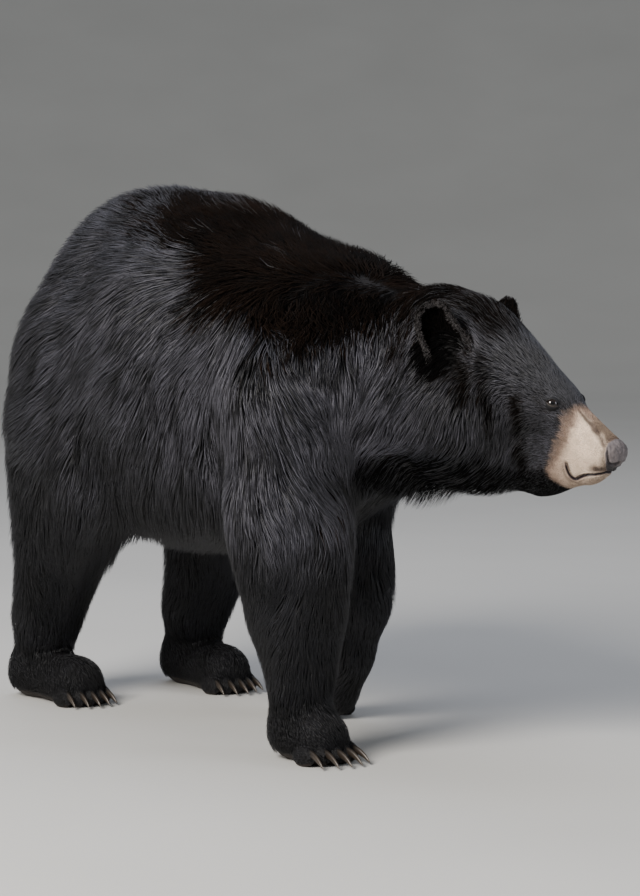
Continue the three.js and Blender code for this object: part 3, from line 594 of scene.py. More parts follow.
@dataclass(frozen=True)
class Eye:
    """One eye and the almond between its lids, in the head's frame."""

    side: int
    centre: Array
    out: Array
    along: Array
    radius: float = 11.0
    lid: float = 1.4
    half: float = 9.6
    upper: float = 5.2
    lower: float = 4.0
    seat: ClassVar[Span] = (209.0, -10.0)  # how far forwards and up it sits
    slant: ClassVar[Point] = (0.9, 0.0, 0.42)
    proud: ClassVar[float] = 3.6  # how far the ball stands out of the head

    @classmethod
    def place(cls, form: Anatomy, side: int) -> "Eye":
        """Finds the eye's place on the side of the head.

        Args:
            form: The animal.
            side: -1 for the right eye and 1 for the left.

        Returns:
            The eye.
        """
        reach = np.arange(10, 120, 0.25)
        ahead, high = (np.full_like(reach, v) for v in cls.seat)
        line = np.stack([ahead, side * reach, high], axis=1)
        first = int(np.argmax(form.distance(form.to_body(line)) >= 0))
        at = line[first]
        _, n = form.slope(form.to_body(at[None]))
        out = (n @ form.turn)[0]
        along = np.array(cls.slant)
        along = along - out * (along @ out)
        return cls(side, at + out * (cls.proud - cls.radius), out, along / np.linalg.norm(along))

    def axes(self) -> Array:
        """Rows that point along the lids, across them and outwards."""
        return np.stack([self.along, np.cross(self.out, self.along) * -self.side, self.out])

    def local(self, h: Array) -> Array:
        """Points as (along the lids, across them, outwards) from the eye's middle."""
        return (h - self.centre) @ self.axes().T

    def back(self, q: Array) -> Array:
        """The inverse of local."""
        return q @ self.axes() + self.centre

    def opening(self, q: Array) -> Array:
        """How far inside the almond a local point lies, less than 0 outside it.

        Args:
            q: Points as local gives them.

        Returns:
            The distance to the nearer lid.
        """
        arch = 1 - (q[:, 0] / self.half) ** 2
        height = np.where(q[:, 1] > 0, self.upper, self.lower)
        return np.minimum(height * arch - np.abs(q[:, 1]), self.half - np.abs(q[:, 0]))


class Face:
    """The detail of the head: lids, nostrils, lips and the tan of the muzzle."""

    mouth = [
        (333, 0, -55), (330, 8, -54), (325, 14, -57), (316, 20, -65), (307, 23, -73), (300, 21, -82),
        (294, 19, -90), (286, 24, -89), (280, 29, -84), (273, 33, -77),
    ]
    nostril = [(337, 8, -33), (335, 13, -37), (331, 19, -39), (328, 24, -37)]
    nostril_radii = [4.0, 4.2, 3.4, 2.2]
    wing = [(314, 27, -16), (319, 28, -24), (324, 27, -30), (328, 24, -37)]
    wing_radii = [0.5, 1.5, 1.9, 2.2]
    philtrum = [(340, 0, -30), (337, 0, -42), (331, 0, -54)]
    # where the painted shade along the bridge's crease goes
    crease = [(232, 16, -3), (251, 16, -7), (274, 18, -10), (293, 20, -14), (309, 25, -19)]
    lip_shade = [(327, 14, -49), (322, 20, -52), (317, 24, -55)]
    trough = [(222, 46, -18), (246, 42, -40)]  # the hollow in front of the eye
    pad_back = ([-60, -50, -37, -28, -19, -13, -5, 4], [331, 326, 323, 318, 313, 309, 309, 310])
    tan_back = (  # where the tan begins, by height
        [-125, -114, -110, -98, -85, -70, -42, -9, 2, 24],
        [345, 300, 270, 256, 253, 252, 247, 236, 238, 241],
    )
    bridge_half = ([230, 275, 312], [12, 16, 23])  # half the breadth of the bridge, towards the nose
    chin_top = ([262, 294, 330], [-84, -90, -58])
    saddle_edge = (  # how far down the brown of the back reaches, from the rump to the neck
        [-218, -95, -10, 33, 76, 154, 245, 296, 360, 413, 460, 560],
        [893, 863, 825, 799, 781, 761, 739, 692, 676, 702, 716, 726],
    )
    # Dark strokes; the fourth and fifth paths, at the eye's inner corner and round its socket, are painted
    # shade.
    dusk_paths = (  # path, half its breadth, and how dark it is
        ([(88, 70, 0), (113, 84, -33), (137, 89, -67), (149, 82, -80)], 9.0, 0.7),
        ([(40, 104, -50), (60, 98, -35), (84, 98, -40), (92, 104, -56)], 14.0, 0.9),
        ([(170, 58, -36), (187, 50, -72), (206, 46, -93), (224, 47, -114), (232, 42, -135)], 9.0, 0.8),
        ([(220, 40, -5), (231, 34, -7)], 3.0, 0.75),
        ([(193, 50, -12), (212, 44, -16), (219, 38, -8)], 8.0, 0.45),
        ([(-30, 25, 28), (70, 24, 28)], 32.0, 0.7),
        ([(18, 72, 8), (45, 76, 0), (64, 84, -14)], 13.0, 0.75),
    )

    def __init__(self, form: Anatomy) -> None:
        """Places the eyes, and lays the lines of the mouth and nostrils on the skin.

        Args:
            form: The animal.
        """
        self.form = form
        self.eyes = [Eye.place(form, side) for side in SIDES.values()]
        self.mouth_line = self.laid(self.mouth)
        self.nostril_line = self.laid(self.nostril, 1)
        self.wing_line = self.laid(self.wing, 1)
        self.philtrum_line = self.laid(self.philtrum)
        self.crease_line = self.laid(self.crease)
        self.shade_line = self.laid(self.lip_shade)

    def laid(self, path: list[Point], parts: int = 3) -> list[Point]:
        """A path rounded off between its corners and laid on the skin.

        Args:
            path: Its corners, in the head's frame.
            parts: How many pieces each stretch is cut into.

        Returns:
            The places along it, in the head's frame.
        """
        p = np.array(path, float)
        ends = np.vstack([2 * p[0] - p[1], p, 2 * p[-1] - p[-2]])
        made = []
        for i in range(len(p) - 1):
            a, b, c, d = ends[i : i + 4]
            for t in np.arange(parts) / parts:
                bend = (2 * a - 5 * b + 4 * c - d) * t + (3 * (b - c) + d - a) * t * t
                made.append(b + 0.5 * t * (c - a + bend))
        made.append(p[-1])
        on, _ = self.form.settle(self.form.to_body(np.array(made)), 0.35, 3)
        return [tuple(row) for row in self.form.to_head(on)]

    def features(self, h: Array) -> Shares:
        """Where the parts of the face are.

        Args:
            h: Points in the head's frame.

        Returns:
            Distances by name: line, hole, slit and rim. Shares from 0 to 1: leather, lips, eye, lid
            and nostril.
        """
        a = mirrored(h)
        line, _ = off_path(a, self.mouth_line)
        hole, width = off_path(a, self.nostril_line, self.nostril_radii)
        groove, narrow = off_path(a, self.wing_line, self.wing_radii)
        hole, width = np.where(groove - narrow < hole - width, [groove, narrow], [hole, width])
        slit, _ = off_path(a, self.philtrum_line)
        rim = a[:, 0] - np.interp(a[:, 2], *self.pad_back) + 0.5 * Ripple(7, 8.0).at(h)
        leather = smooth(rim, -1.4, 1.4) * smooth(a[:, 2], -54, -50)
        eye = np.zeros(len(h))
        lid = eye.copy()
        for one in self.eyes:
            q = one.local(h)
            close = np.linalg.norm(q, axis=1) < 22
            inside = one.opening(q)
            eye = np.maximum(eye, close * smooth(inside, -0.2, 0.9))
            rim_below = (1 - smooth(np.abs(inside + 0.9), 0.3, 1.4)) * smooth(-q[:, 1], -0.5, 2.0)
            lid = np.maximum(lid, close * rim_below)
        lips = 1 - smooth(line - 0.6 * smooth(h[:, 0], 282, 300), 1.9, 3.9)
        return {
            "line": line, "hole": hole - width, "slit": slit, "rim": rim,
            "leather": leather, "eye": eye, "lid": lid,
            "lips": lips * (1 - leather) * smooth(h[:, 0], 266, 276),
            "nostril": 1 - smooth(hole - width, -1.6, 0.4),
        }

    def level(self, p: Array) -> Array:
        """How much of the coat's depth is taken off to reach the skin.

        Args:
            p: The points.

        Returns:
            The share for each, from 0 at the tips to 1 at the hide.
        """
        h = self.form.to_head(p)
        face = smooth(h[:, 0], 150, 290) * self.form.headness(p)
        near = 1 - smooth(self.to_eye(h), 14, 34)
        return (0.62 - 0.3 * face) * (1 - 0.75 * near)

    def to_eye(self, h: Array) -> Array:
        """How far points of the head's frame are from the nearer eye's middle."""
        return np.minimum.reduce([np.linalg.norm(h - one.centre, axis=1) for one in self.eyes])

    def sculpt(self, p: Array, n: Array) -> Array:
        """Moves the skin's points into lids, nostrils and lips.

        Args:
            p: The points on the smooth head.
            n: The outward direction at each.

        Returns:
            The moved points.
        """
        h = self.form.to_head(p)
        found = self.features(h)
        trough, _ = off_path(mirrored(h), self.trough)
        push = -4.0 * bell(found["line"], 0, 1.4) * (1 - found["leather"] * 0.6)  # the mouth's line
        push += 1.4 * bell(found["line"], 4.2, 2.0) * smooth(h[:, 0], 262, 285)  # the lips beside it
        push += -7.0 * (1 - smooth(found["hole"], -2.6, 0.5)) + 0.9 * bell(found["hole"], 1.8, 1.3)
        push += -1.8 * bell(found["slit"], 0, 1.3)
        push += 0.9 * found["leather"] + 0.3 * found["leather"] * Ripple(12, 7.0).at(h)
        push += 0.35 * Ripple(5, 9.0).at(h) * smooth(h[:, 0], 200, 240)
        push += -1.6 * bell(trough, 0, 5.0)
        h = h + (n @ self.form.turn) * push[:, None]
        for one in self.eyes:
            q = one.local(h)
            r = np.hypot(q[:, 0], q[:, 1])
            close = (np.linalg.norm(q, axis=1) < 30) & (q[:, 2] > 0)
            reach = one.radius + one.lid
            cap = np.sqrt(np.maximum(reach**2 - r**2, 0))
            bag = 0.9 * bell(one.opening(q), -4.6, 1.6)
            raised = np.where(r < reach, np.maximum(q[:, 2], cap), q[:, 2]) + bag
            height = mix(raised, q[:, 2], smooth(r, 11, 21))
            sunk = np.sqrt(np.maximum(7.5**2 - r**2, 0.5))
            height = mix(height, sunk, smooth(one.opening(q), -0.1, 0.7))
            q[:, 2] = np.where(close, height, q[:, 2])
            h = np.where(close[:, None], one.back(q), h)
        return self.form.to_body(h)

    def markings(self, p: Array) -> Shares:
        """The coat's colours and its painted shade, the same for the skin and for the hair on it.

        Args:
            p: The points.

        Returns:
            Shares from 0 to 1 by name.
        """
        h = self.form.to_head(p)
        found = self.features(h)
        f, s, u = mirrored(h).T
        wander = Ripple(3, 34.0).at(h) * 3.0 + Ripple(4, 11.0).at(h) * 1.6
        edge = f + wander - np.interp(u, *self.tan_back)
        cream = smooth(edge, -3, 9) * (f > 200)
        half = np.interp(f, *self.bridge_half)
        bridge = 1 - smooth(s + wander * 0.7, half - 7, half + 7)
        bridge = bridge * smooth(u, -34, -12) * smooth(edge, -6, 6)
        low = smooth(-u, 60, 90)
        border = smooth(edge, -8, 2) * (1 - smooth(edge, 6, 24 + 14 * low)) * 0.85
        chin = (1 - smooth(u - np.interp(f, *self.chin_top), -6, 0)) * cream
        pink = np.maximum.reduce([border, chin * 0.6, bridge * 0.6 * bell(f, 256, 12)])
        grey = smooth(f, 60, 140) * (1 - smooth(f, 214, 244)) * smooth(u, -40, 10) * 0.9
        # Painted shade: under the nose's leather, in the nostrils and inside the ears' cups.
        under = found["leather"] * smooth(-u, 34, 44) * 0.85
        hollow = np.maximum.reduce([found["nostril"], self.ear_cup_shade(h), under])
        dusk = self.dusk(mirrored(h), wander)
        bare = np.maximum.reduce([found["leather"], found["lips"], found["eye"], found["nostril"]])
        return {
            "cream": cream, "bridge": bridge, "pink": pink, "grey": grey, "dusk": dusk, "hollow": hollow,
            # the dark strokes, with their painted shade round the eyes, are laid on as brown
            "brown": np.maximum(self.saddle(p), dusk), "crease": self.creases(h, found, edge, wander),
            "bare": bare, "leather": found["leather"], "lips": found["lips"], "lid": found["lid"],
        }

    def creases(self, h: Array, found: Shares, edge: Array, wander: Array) -> Array:
        """Painted shade in the creases of the muzzle: along the bridge, below the nostrils, by the corners
        of the lips and behind the nose, with a dark band at the tan's border.

        Args:
            h: Points in the head's frame.
            found: What features says of them.
            edge: How far each lies in front of the tan's border.
            wander: How far the markings stray there.

        Returns:
            Shares from 0 to 1.
        """
        f = h[:, 0]
        ridge, _ = off_path(mirrored(h), self.crease_line)
        shade, _ = off_path(mirrored(h), self.shade_line)
        return np.maximum.reduce([
            (1 - smooth(ridge + wander * 0.4, 1, 7)) * smooth(edge, 0, 8) * 0.85,
            (1 - smooth(shade + wander * 0.3, 3, 12)) * 0.9,
            (1 - smooth(found["line"], 2, 9)) * (1 - smooth(f, 292, 306)) * smooth(f, 268, 274) * 0.7,
            smooth(edge, -6, 0) * (1 - smooth(edge, 2, 15)) * 0.45,
            smooth(found["rim"] + wander * 0.3, -9, 0) * (f > 290) * 0.6,
        ])

    def dusk(self, a: Array, wander: Array) -> Array:
        """The dark strokes by the ears, below the eyes and down the cheeks, and painted shade round the
        eyes.

        Args:
            a: Points of the head's left side, one a row.
            wander: How far the markings stray there.

        Returns:
            Shares from 0 to 1.
        """
        strokes = []
        for path, wide, dark in self.dusk_paths:
            strokes.append(dark * (1 - smooth(off_path(a, path)[0] + wander, wide * 0.3, wide * 1.7)))
        return np.maximum.reduce(strokes)

    def saddle(self, p: Array) -> Array:
        """The brown that the sun has bleached along the back.

        Args:
            p: The points.

        Returns:
            Shares from 0 to 1.
        """
        x, y, z = p.T
        edge = np.interp(x, *self.saddle_edge)
        ragged = z + 20 * Ripple(6, 150.0).at(p) + 12 * Ripple(8, 50.0).at(p)
        ridge = (1 - smooth(np.abs(y), 10, 50)) * (1 - smooth(x, -60, 60))
        high = smooth(ragged, edge - 38, edge + 16)
        return high * smooth(x, -250, -120) * (1 - smooth(x, 540, 600)) * (1 - 0.65 * ridge)

    @staticmethod
    def ear_cup_shade(h: Array) -> Array:
        """The places on the head that lie inside the cup of an ear, where painted shade goes.

        Args:
            h: Points in the head's frame.

        Returns:
            Shares from 0 to 1.
        """
        made = np.zeros(len(h))
        for side in SIDES.values():
            frame = EarShape.frame(side)
            q = (h - EarShape.base * [1, side, 1]) @ frame.T
            t = q[:, 0] / EarShape.height
            flare = 0.7 * EarShape.flare * (1 - smooth(t, *EarShape.flare_heights))
            front = np.interp(t, EarShape.heights, EarShape.front) + flare
            half = np.where(q[:, 1] < 0, np.interp(t, EarShape.heights, EarShape.rear), front)
            inside = (1 - smooth(np.abs(q[:, 1]), half - 8, half - 1)) * smooth(q[:, 0], -4, 8)
            inside *= 1 - smooth(q[:, 0], EarShape.height - 10, EarShape.height)
            made = np.maximum(made, inside * (1 - smooth(np.abs(q[:, 2] + 4), 20, 27)))
        return made


# ---- how the hair lies
class Lie:
    """The direction and the length of the hair everywhere."""

    lean_back = ([-500, -250, 0, 150, 250, 400], [1.2, 1.15, 0.75, 0.35, 0.0, -0.3])  # rump to chest
    head_lengths = ([-80, 0, 60, 130, 185, 215, 250, 320], [66, 48, 34, 23, 14, 8.5, 5.5, 4])  # nape to nose

    def __init__(self, form: Anatomy) -> None:
        """Keeps the form that the hair grows on.

        Args:
            form: The animal.
        """
        self.form = form
        edge = EarShape.at(1, np.array([0, 0.25, 0.5]), np.ones(3), np.zeros(3))
        self.ear_edge = [tuple(row) for row in edge]

    def flow(self, p: Array, n: Array) -> Array:
        """The direction along the surface from root to tip.

        Args:
            p: The points.
            n: The outward direction at each.

        Returns:
            A direction along the surface for each.
        """
        x, y, z = p.T
        flat = np.zeros(len(p))
        back = np.interp(x, *self.lean_back) * (0.5 + 0.5 * smooth(z, 380, 620))
        chest = smooth(x, 170, 330) * (1 - smooth(z, 520, 690))
        elbow = smooth(-n[:, 0], 0.1, 0.7) * smooth(z, 190, 270) * (1 - smooth(z, 430, 500)) * (x > 0)
        toes = np.where((y > 0) & (x > -100) & (x < 240), -0.8, 0.8)  # the left forefoot points back
        aim = np.stack([-back, flat, flat - 1], axis=1)
        for heading, share in (
            ((-1, 0, -0.2), smooth(z, 680, 850)),  # the back
            (np.stack([flat + 0.3, -0.1 * np.sign(y), flat - 1], axis=1), chest),
            ((-0.25, 0, -1), 1 - smooth(z, 300, 420)),  # the legs
            ((-1, 0, -0.7), elbow * 0.8),
            ((-0.6, 0, -0.8), smooth(-n[:, 2], 0.6, 0.95) * smooth(z, 240, 320)),  # the belly
            (np.stack([toes, flat, flat - 0.7], axis=1), 1 - smooth(z, 70, 130)),
            ((-0.35, 0, -1), smooth(-x, 470, 510) * smooth(z, 560, 600)),  # the tail
            (self.swept(p, n), self.form.headness(p)),
        ):
            aim = mix(aim, heading, share)
        swirl = 0.24 * Ripple(21, 190.0).at(p) + 0.14 * Ripple(22, 70.0).at(p)
        swirl *= 1 - 0.7 * smooth(self.form.to_head(p)[:, 0], 120, 200) * self.form.headness(p)
        aim = unit(aim - n * np.sum(aim * n, axis=1, keepdims=True))
        across = np.cross(n, aim)
        return unit(aim * np.cos(swirl)[:, None] + across * np.sin(swirl)[:, None])

    def swept(self, p: Array, n: Array) -> Array:
        """The direction on the head: back from the nose, apart over the crown, down at the cheeks.

        Args:
            p: The points.
            n: The outward direction at each.

        Returns:
            A direction for each, in the animal's frame.
        """
        f, s, u = self.form.to_head(p).T
        flat = np.zeros(len(p))
        apart = np.clip(s / 45, -1, 1)
        back = np.stack([flat - 1, 0.22 * apart, -0.05 - 0.75 * (1 - smooth(u, -110, -20))], axis=1)
        crown = smooth(f, 20, 60) * (1 - smooth(f, 90, 130)) * smooth(u, -40, 0)
        back = mix(back, np.stack([flat - 1, 0.4 * apart, flat + 0.1], axis=1), crown)
        hanging = 1 - smooth(f + 1.2 * np.clip(u + 70, -60, 90), 120, 240)
        hanging *= smooth(1 - np.abs(n[:, 2]), 0.3, 0.75)
        return mix(unit(back @ self.form.turn.T), (-0.36, 0, -0.93), hanging * 0.9)

    def belly(self, p: Array) -> Array:
        """How much a place belongs to the fringe below the belly.

        Args:
            p: The points.

        Returns:
            Shares from 0 to 1.
        """
        x, y, z = p.T
        under = (1 - smooth(z, 380, 470)) * smooth(z, 262, 300) * (1 - smooth(np.abs(y), 120, 170))
        return under * smooth(x, -260, -200) * (1 - smooth(x, 110, 190))

    def length(self, p: Array) -> Array:
        """The hair's length.

        Args:
            p: The points.

        Returns:
            Millimetres for each.
        """
        x, _, z = p.T
        h = mirrored(self.form.to_head(p))
        body = 84 - 26 * smooth(z, 700, 800) * smooth(x, -300, -190)
        for length, share in (
            (62.0, 1 - smooth(z, 300, 430)),  # the tops of the legs
            (104.0, self.belly(p)),
            (44.0, 1 - smooth(z, 170, 290)),
            (20.0, 1 - smooth(z, 50, 140)),
            (11.0, 1 - smooth(z, 26, 60)),  # the toes
        ):
            body = mix(body, length, share)
        f, _, u = h.T
        jowl = (1 - smooth(u, -110, -50)) * (1 - smooth(f, 150, 250))
        head = np.interp(f, *self.head_lengths) + 26 * jowl
        beside, _ = off_path(h, self.ear_edge)
        head = mix(head, 12.0, (1 - smooth(beside, 12, 30)) * (f > 30))
        return mix(body, head, self.form.headness(p))

    def loft(self, p: Array, n: Array) -> Array:
        """How far above the form's outline the tips reach.

        Args:
            p: The points.
            n: The outward direction at each.

        Returns:
            Millimetres for each, less than 0 where the tips stay inside.
        """
        x, y, z = p.T
        top = smooth(n[:, 2], 0.35, 0.9) * smooth(z, 600, 700) * (1 - self.form.headness(p))
        hips, withers, dip = 4 * bell(x, -180, 80), 8 * bell(x, 190, 75), 7 * bell(x, 95, 55)
        made = (1 + hips + withers - dip) * top * (1 - smooth(x, 240, 380))
        breech = smooth(-n[:, 0], 0.3, 0.7) * smooth(z, 290, 350) * (1 - smooth(z, 500, 560)) * (x < -200)
        outer = smooth(n[:, 1], 0.1, 0.6) * (y > 100) * (x > -80) * (x < 300)
        forearm = 7 * bell(z, 275, 28) - 15 * bell(z, 390, 55)
        f = self.form.to_head(p)[:, 0]
        crown = 9 * bell(f, 2, 28) + 5 * bell(f, 105, 30)
        crown = crown * self.form.headness(p) * smooth(n[:, 2], 0.4, 0.8)
        return made + 9 * breech + forearm * outer - crown

    def droop(self, p: Array, n: Array) -> Array:
        """How far the fringe below the belly, behind the elbows and under the throat hangs.

        Args:
            p: The points.
            n: The outward direction at each.

        Returns:
            Millimetres for each.
        """
        x, _, z = p.T
        low = smooth(z, 250, 330) * (1 - smooth(z, 430, 520)) * (1 - smooth(x, 150, 230))
        throat = smooth(x, 450, 500) * (1 - smooth(x, 515, 560)) * (1 - smooth(z, 470, 530))
        chin = 4 * self.form.headness(p) * (1 - smooth(self.form.to_head(p)[:, 0], 200, 245))
        return (24 * low + 31 * throat + chin) * smooth(-n[:, 2], 0.05, 0.6)


# ---- materials
def linear(code: str) -> tuple[float, float, float, float]:
    """A hex colour such as "#17161a" as linear red, green, blue and alpha."""
    parts = [int(code[i : i + 2], 16) / 255 for i in (1, 3, 5)]
    return (*[c / 12.92 if c <= 0.04045 else ((c + 0.055) / 1.055) ** 2.4 for c in parts], 1.0)


def add_node(tree: bpy.types.NodeTree, kind: str, settings: dict | None = None, **sockets: object) -> Node:
    """Adds a node to a tree.

    Args:
        tree: The material's node tree.
        kind: The node's type.
        settings: Its own properties.
        sockets: Input values or the outputs to link, by the input's name with _ for a space, or by
            number, as in_0.

    Returns:
        The node.
    """
    node = tree.nodes.new(kind)
    for name, value in (settings or {}).items():
        setattr(node, name, value)
    for name, value in sockets.items():
        key: int | str = int(name[3:]) if name.startswith("in_") else name.replace("_", " ")
        if isinstance(value, Socket):
            tree.links.new(value, node.inputs[key])
        else:
            node.inputs[key].default_value = value
    return node


class Paint:
    """A material while it is made: its node tree, and a colour that others are laid over."""

    def __init__(self, name: str, base: str) -> None:
        """Makes a material with an empty tree.

        Args:
            name: The material's name.
            base: The colour below all others.
        """
        self.material = bpy.data.materials.new(name)
        self.material.use_nodes = True
        self.tree = self.material.node_tree
        self.tree.nodes.clear()
        self.colour: object = linear(base)

    def add(self, kind: str, settings: dict | None = None, **sockets: object) -> Node:
        """Adds a node to this material."""
        return add_node(self.tree, kind, settings, **sockets)

    def share(self, name: str) -> Socket:
        """The output that reads one of the mesh's own shares."""
        return self.add("ShaderNodeAttribute", {"attribute_name": name}).outputs["Fac"]

    def where(self) -> Socket:
        """The output that reads the place in the object's own coordinates."""
        return self.add("ShaderNodeTexCoord").outputs["Object"]

    def noise(self, size_mm: float, detail: float, **more: object) -> Socket:
        """Cloudy noise with spots of a real size."""
        return self.add("ShaderNodeTexNoise", None, Scale=MM / size_mm, Detail=detail, **more).outputs["Fac"]

    def times(self, a: Socket, b: Socket) -> Socket:
        """The product of two shares."""
        return self.add("ShaderNodeMath", {"operation": "MULTIPLY"}, in_0=a, in_1=b).outputs[0]

    def ranged(self, value: Socket, settings: dict | None = None, **ends: float) -> Socket:
        """A share brought to another range."""
        return self.add("ShaderNodeMapRange", settings, Value=value, **ends).outputs[0]

    def bumps(self, height: Socket, strength: float, depth_mm: float, invert: bool = False) -> Socket:
        """Bumps of a real depth."""
        sockets = {"Strength": strength, "Distance": depth_mm / MM, "Height": height}
        return self.add("ShaderNodeBump", {"invert": invert}, **sockets).outputs[0]

    def over(self, code: str, share: Socket) -> "Paint":
        """Lays a colour over what is there."""
        self.mix(share, linear(code), "MIX")
        return self

    def mix(self, share: Socket | float, other: object, how: str) -> None:
        """Mixes the colour with another one.

        Args:
            share: How much of the other one shows.
            other: The other colour, or the output that gives it.
            how: The way of mixing.
        """
        settings = {"data_type": "RGBA", "blend_type": how}
        node = self.add("ShaderNodeMix", settings, in_0=share, in_6=self.colour, in_7=other)
        self.colour = node.outputs[2]

    def done(self, **sockets: object) -> Material:
        """Ends the tree with one surface of the colour.

        Args:
            sockets: The surface's other inputs.

        Returns:
            The finished material.
        """
        shader = self.add("ShaderNodeBsdfPrincipled", None, Base_Color=self.colour, **sockets)
        self.add("ShaderNodeOutputMaterial", None, Surface=shader.outputs[0])
        return self.material


# the coat's markings; crease and hollow are painted shade
MARKS = ("brown", "grey", "cream", "bridge", "pink", "crease", "hollow")


def lay_markings(paint: Paint, finish: "GuardHair | Hide") -> None:
    """Lays the coat's markings and their painted shade over a colour, on the skin and the hair alike."""
    for name in MARKS:
        paint.over(getattr(finish, name), paint.share(name))


@dataclass(frozen=True)
class GuardHair:
    """Keratin guard hair, grown: near black with a cool sheen, partly real and partly painted as pale
    blue-grey tips, brown where the sun has bleached it.
    """

    name: str = "guard_hair"
    root: str = "#060607"
    # painted sheen: the pale blue-grey of the tips, laid on by the tone share with its painted light
    tip: str = "#504f57"
    brown: str = "#0f0906"
    grey: str = "#37373a"
    cream: str = "#efdac4"
    bridge: str = "#7c6c5d"
    pink: str = "#a89080"
    # painted shade in the muzzle's creases
    crease: str = "#4e4039"
    # painted shade in the nostrils, under the nose and inside the ears
    hollow: str = "#030202"
    sky: str = "#a8acc0"  # what the sheen takes from it
    roughness: float = 0.5
    specular: float = 0.4
    sheen: float = 0.06
    shade: Span = (0.5, 1.35)  # how dark and how pale the tufts of one colour are

    def build(self) -> Material:
        """Makes the material, paler towards the tips and from tuft to tuft, and lighter or darker by the
        painted light and shade that the tone share carries.

        Returns:
            The material.
        """
        paint = Paint(self.name, self.root)
        tone = paint.share("tone")
        paint.over(self.tip, paint.times(paint.share("along"), tone))
        lay_markings(paint, self)
        shade = paint.ranged(tone, To_Min=self.shade[0], To_Max=self.shade[1])
        grade = paint.add("ShaderNodeCombineColor", None, Red=shade, Green=shade, Blue=shade).outputs[0]
        paint.mix(1.0, grade, "MULTIPLY")
        return paint.done(
            Roughness=self.roughness, IOR=1.55, Specular_IOR_Level=self.specular,
            Sheen_Weight=self.sheen, Sheen_Roughness=0.4, Sheen_Tint=linear(self.sky),
        )


@dataclass(frozen=True)
class Hide:
    """Skin under short hair, which shows as fine bumps and streaks; bare and glossier at the lips."""

    name: str = "hide"
    base: str = "#0a090b"
    brown: str = "#0d0806"
    grey: str = "#242426"
    cream: str = "#dfcab6"
    bridge: str = "#74655a"
    pink: str = "#9e8779"
    # painted shade in the muzzle's creases
    crease: str = "#4b3e37"
    lip: str = "#241b20"
    lid: str = "#3f3935"
    # painted shade in the nostrils, under the nose and inside the ears
    hollow: str = "#030202"
    mottle: str = "#8d7565"  # faint spots in the cream
    leather: str = "#58504f"  # the nose's own colour, so that its edge is soft
    hair_mm: float = 1.6  # real hairs are 0.1 mm, drawn as coarse as they need to show
    blotch_mm: float = 14.0
    dry: float = 0.7
    moist: float = 0.38

    def build(self) -> Material:
        """Makes the material, with the markings and their painted shade, lids and lips laid over its dark
        base.

        Returns:
            The material.
        """
        paint = Paint(self.name, self.base)
        where = paint.where()
        hair = paint.noise(3 * self.hair_mm, 3.0, Vector=where, Roughness=0.6)
        blotch = paint.noise(self.blotch_mm, 2.0, Vector=where)
        lay_markings(paint, self)
        faint = paint.ranged(blotch, From_Min=0.4, From_Max=0.7, To_Max=0.35)
        paint.over(self.mottle, paint.times(faint, paint.share("cream")))
        for name, code in (("leather", self.leather), ("lips", self.lip), ("lid", self.lid)):
            paint.over(code, paint.share(name))
        gloss = paint.ranged(paint.share("bare"), To_Min=self.dry, To_Max=self.moist)
        return paint.done(Roughness=gloss, Normal=paint.bumps(hair, 0.5, 1.2), Specular_IOR_Level=0.22)


@dataclass(frozen=True)
class NoseLeather:
    """Bare rhinarium skin, moist and finely pebbled, grey-black; the soles have the same, drier."""

    name: str
    base: str = "#454041"
    worn: str = "#827a7a"
    roughness: float = 0.4
    pebble_mm: float = 1.3
    blotch_mm: float = 9.0
    # painted shade in the nostrils and under the nose
    hollow: str = "#070606"
    wander: Span = (-0.08, 0.14)  # of the roughness, from moist to dry

    def build(self) -> Material:
        """Makes the material, worn paler in blotches, darkened by painted shade in the nostrils and under
        the nose, and pebbled by small cells.

        Returns:
            The material.
        """
        paint = Paint(self.name, self.base)
        where = paint.where()
        cells = paint.add("ShaderNodeTexVoronoi", None, Vector=where, Scale=MM / self.pebble_mm)
        blotch = paint.noise(self.blotch_mm, 3.0, Vector=where)
        paint.over(self.worn, blotch).over(self.hollow, paint.share("hollow"))
        moist, dry = (self.roughness + v for v in self.wander)
        return paint.done(
            Roughness=paint.ranged(blotch, To_Min=moist, To_Max=dry),
            Normal=paint.bumps(cells.outputs["Distance"], 0.55, 0.5, invert=True),
            IOR=1.45, Specular_IOR_Level=0.2, Coat_Weight=0.06, Coat_Roughness=0.25,
        )


@dataclass(frozen=True)
class WetEye:
    """A live eye: brown iris round a black pupil under a clear wet cornea."""

    name: str = "eye_brown"
    rim: str = "#080504"
    iris: str = "#170e08"
    fleck: str = "#241509"
    pupil: str = "#020202"
    fibre_mm: float = 1.2
    rim_turn: Span = (34.0, 42.0)  # degrees from the line of sight
    pupil_turn: Span = (17.0, 14.0)

    def build(self) -> Material:
        """Makes the material, with the iris's fibres, its dark rim and the pupil.

        Returns:
            The material.
        """
        paint = Paint(self.name, self.iris)
        turn = paint.share("turn")
        fibres = paint.noise(self.fibre_mm, 2.0, Vector=paint.where())
        paint.over(self.fleck, paint.ranged(fibres, From_Min=0.4, From_Max=0.75))
        for code, (start, end) in ((self.rim, self.rim_turn), (self.pupil, self.pupil_turn)):
            soft = {"interpolation_type": "SMOOTHSTEP"}
            paint.over(code, paint.ranged(turn, soft, From_Min=start, From_Max=end))
        return paint.done(Roughness=0.12, IOR=1.38, Coat_Weight=1.0, Coat_Roughness=0.03)


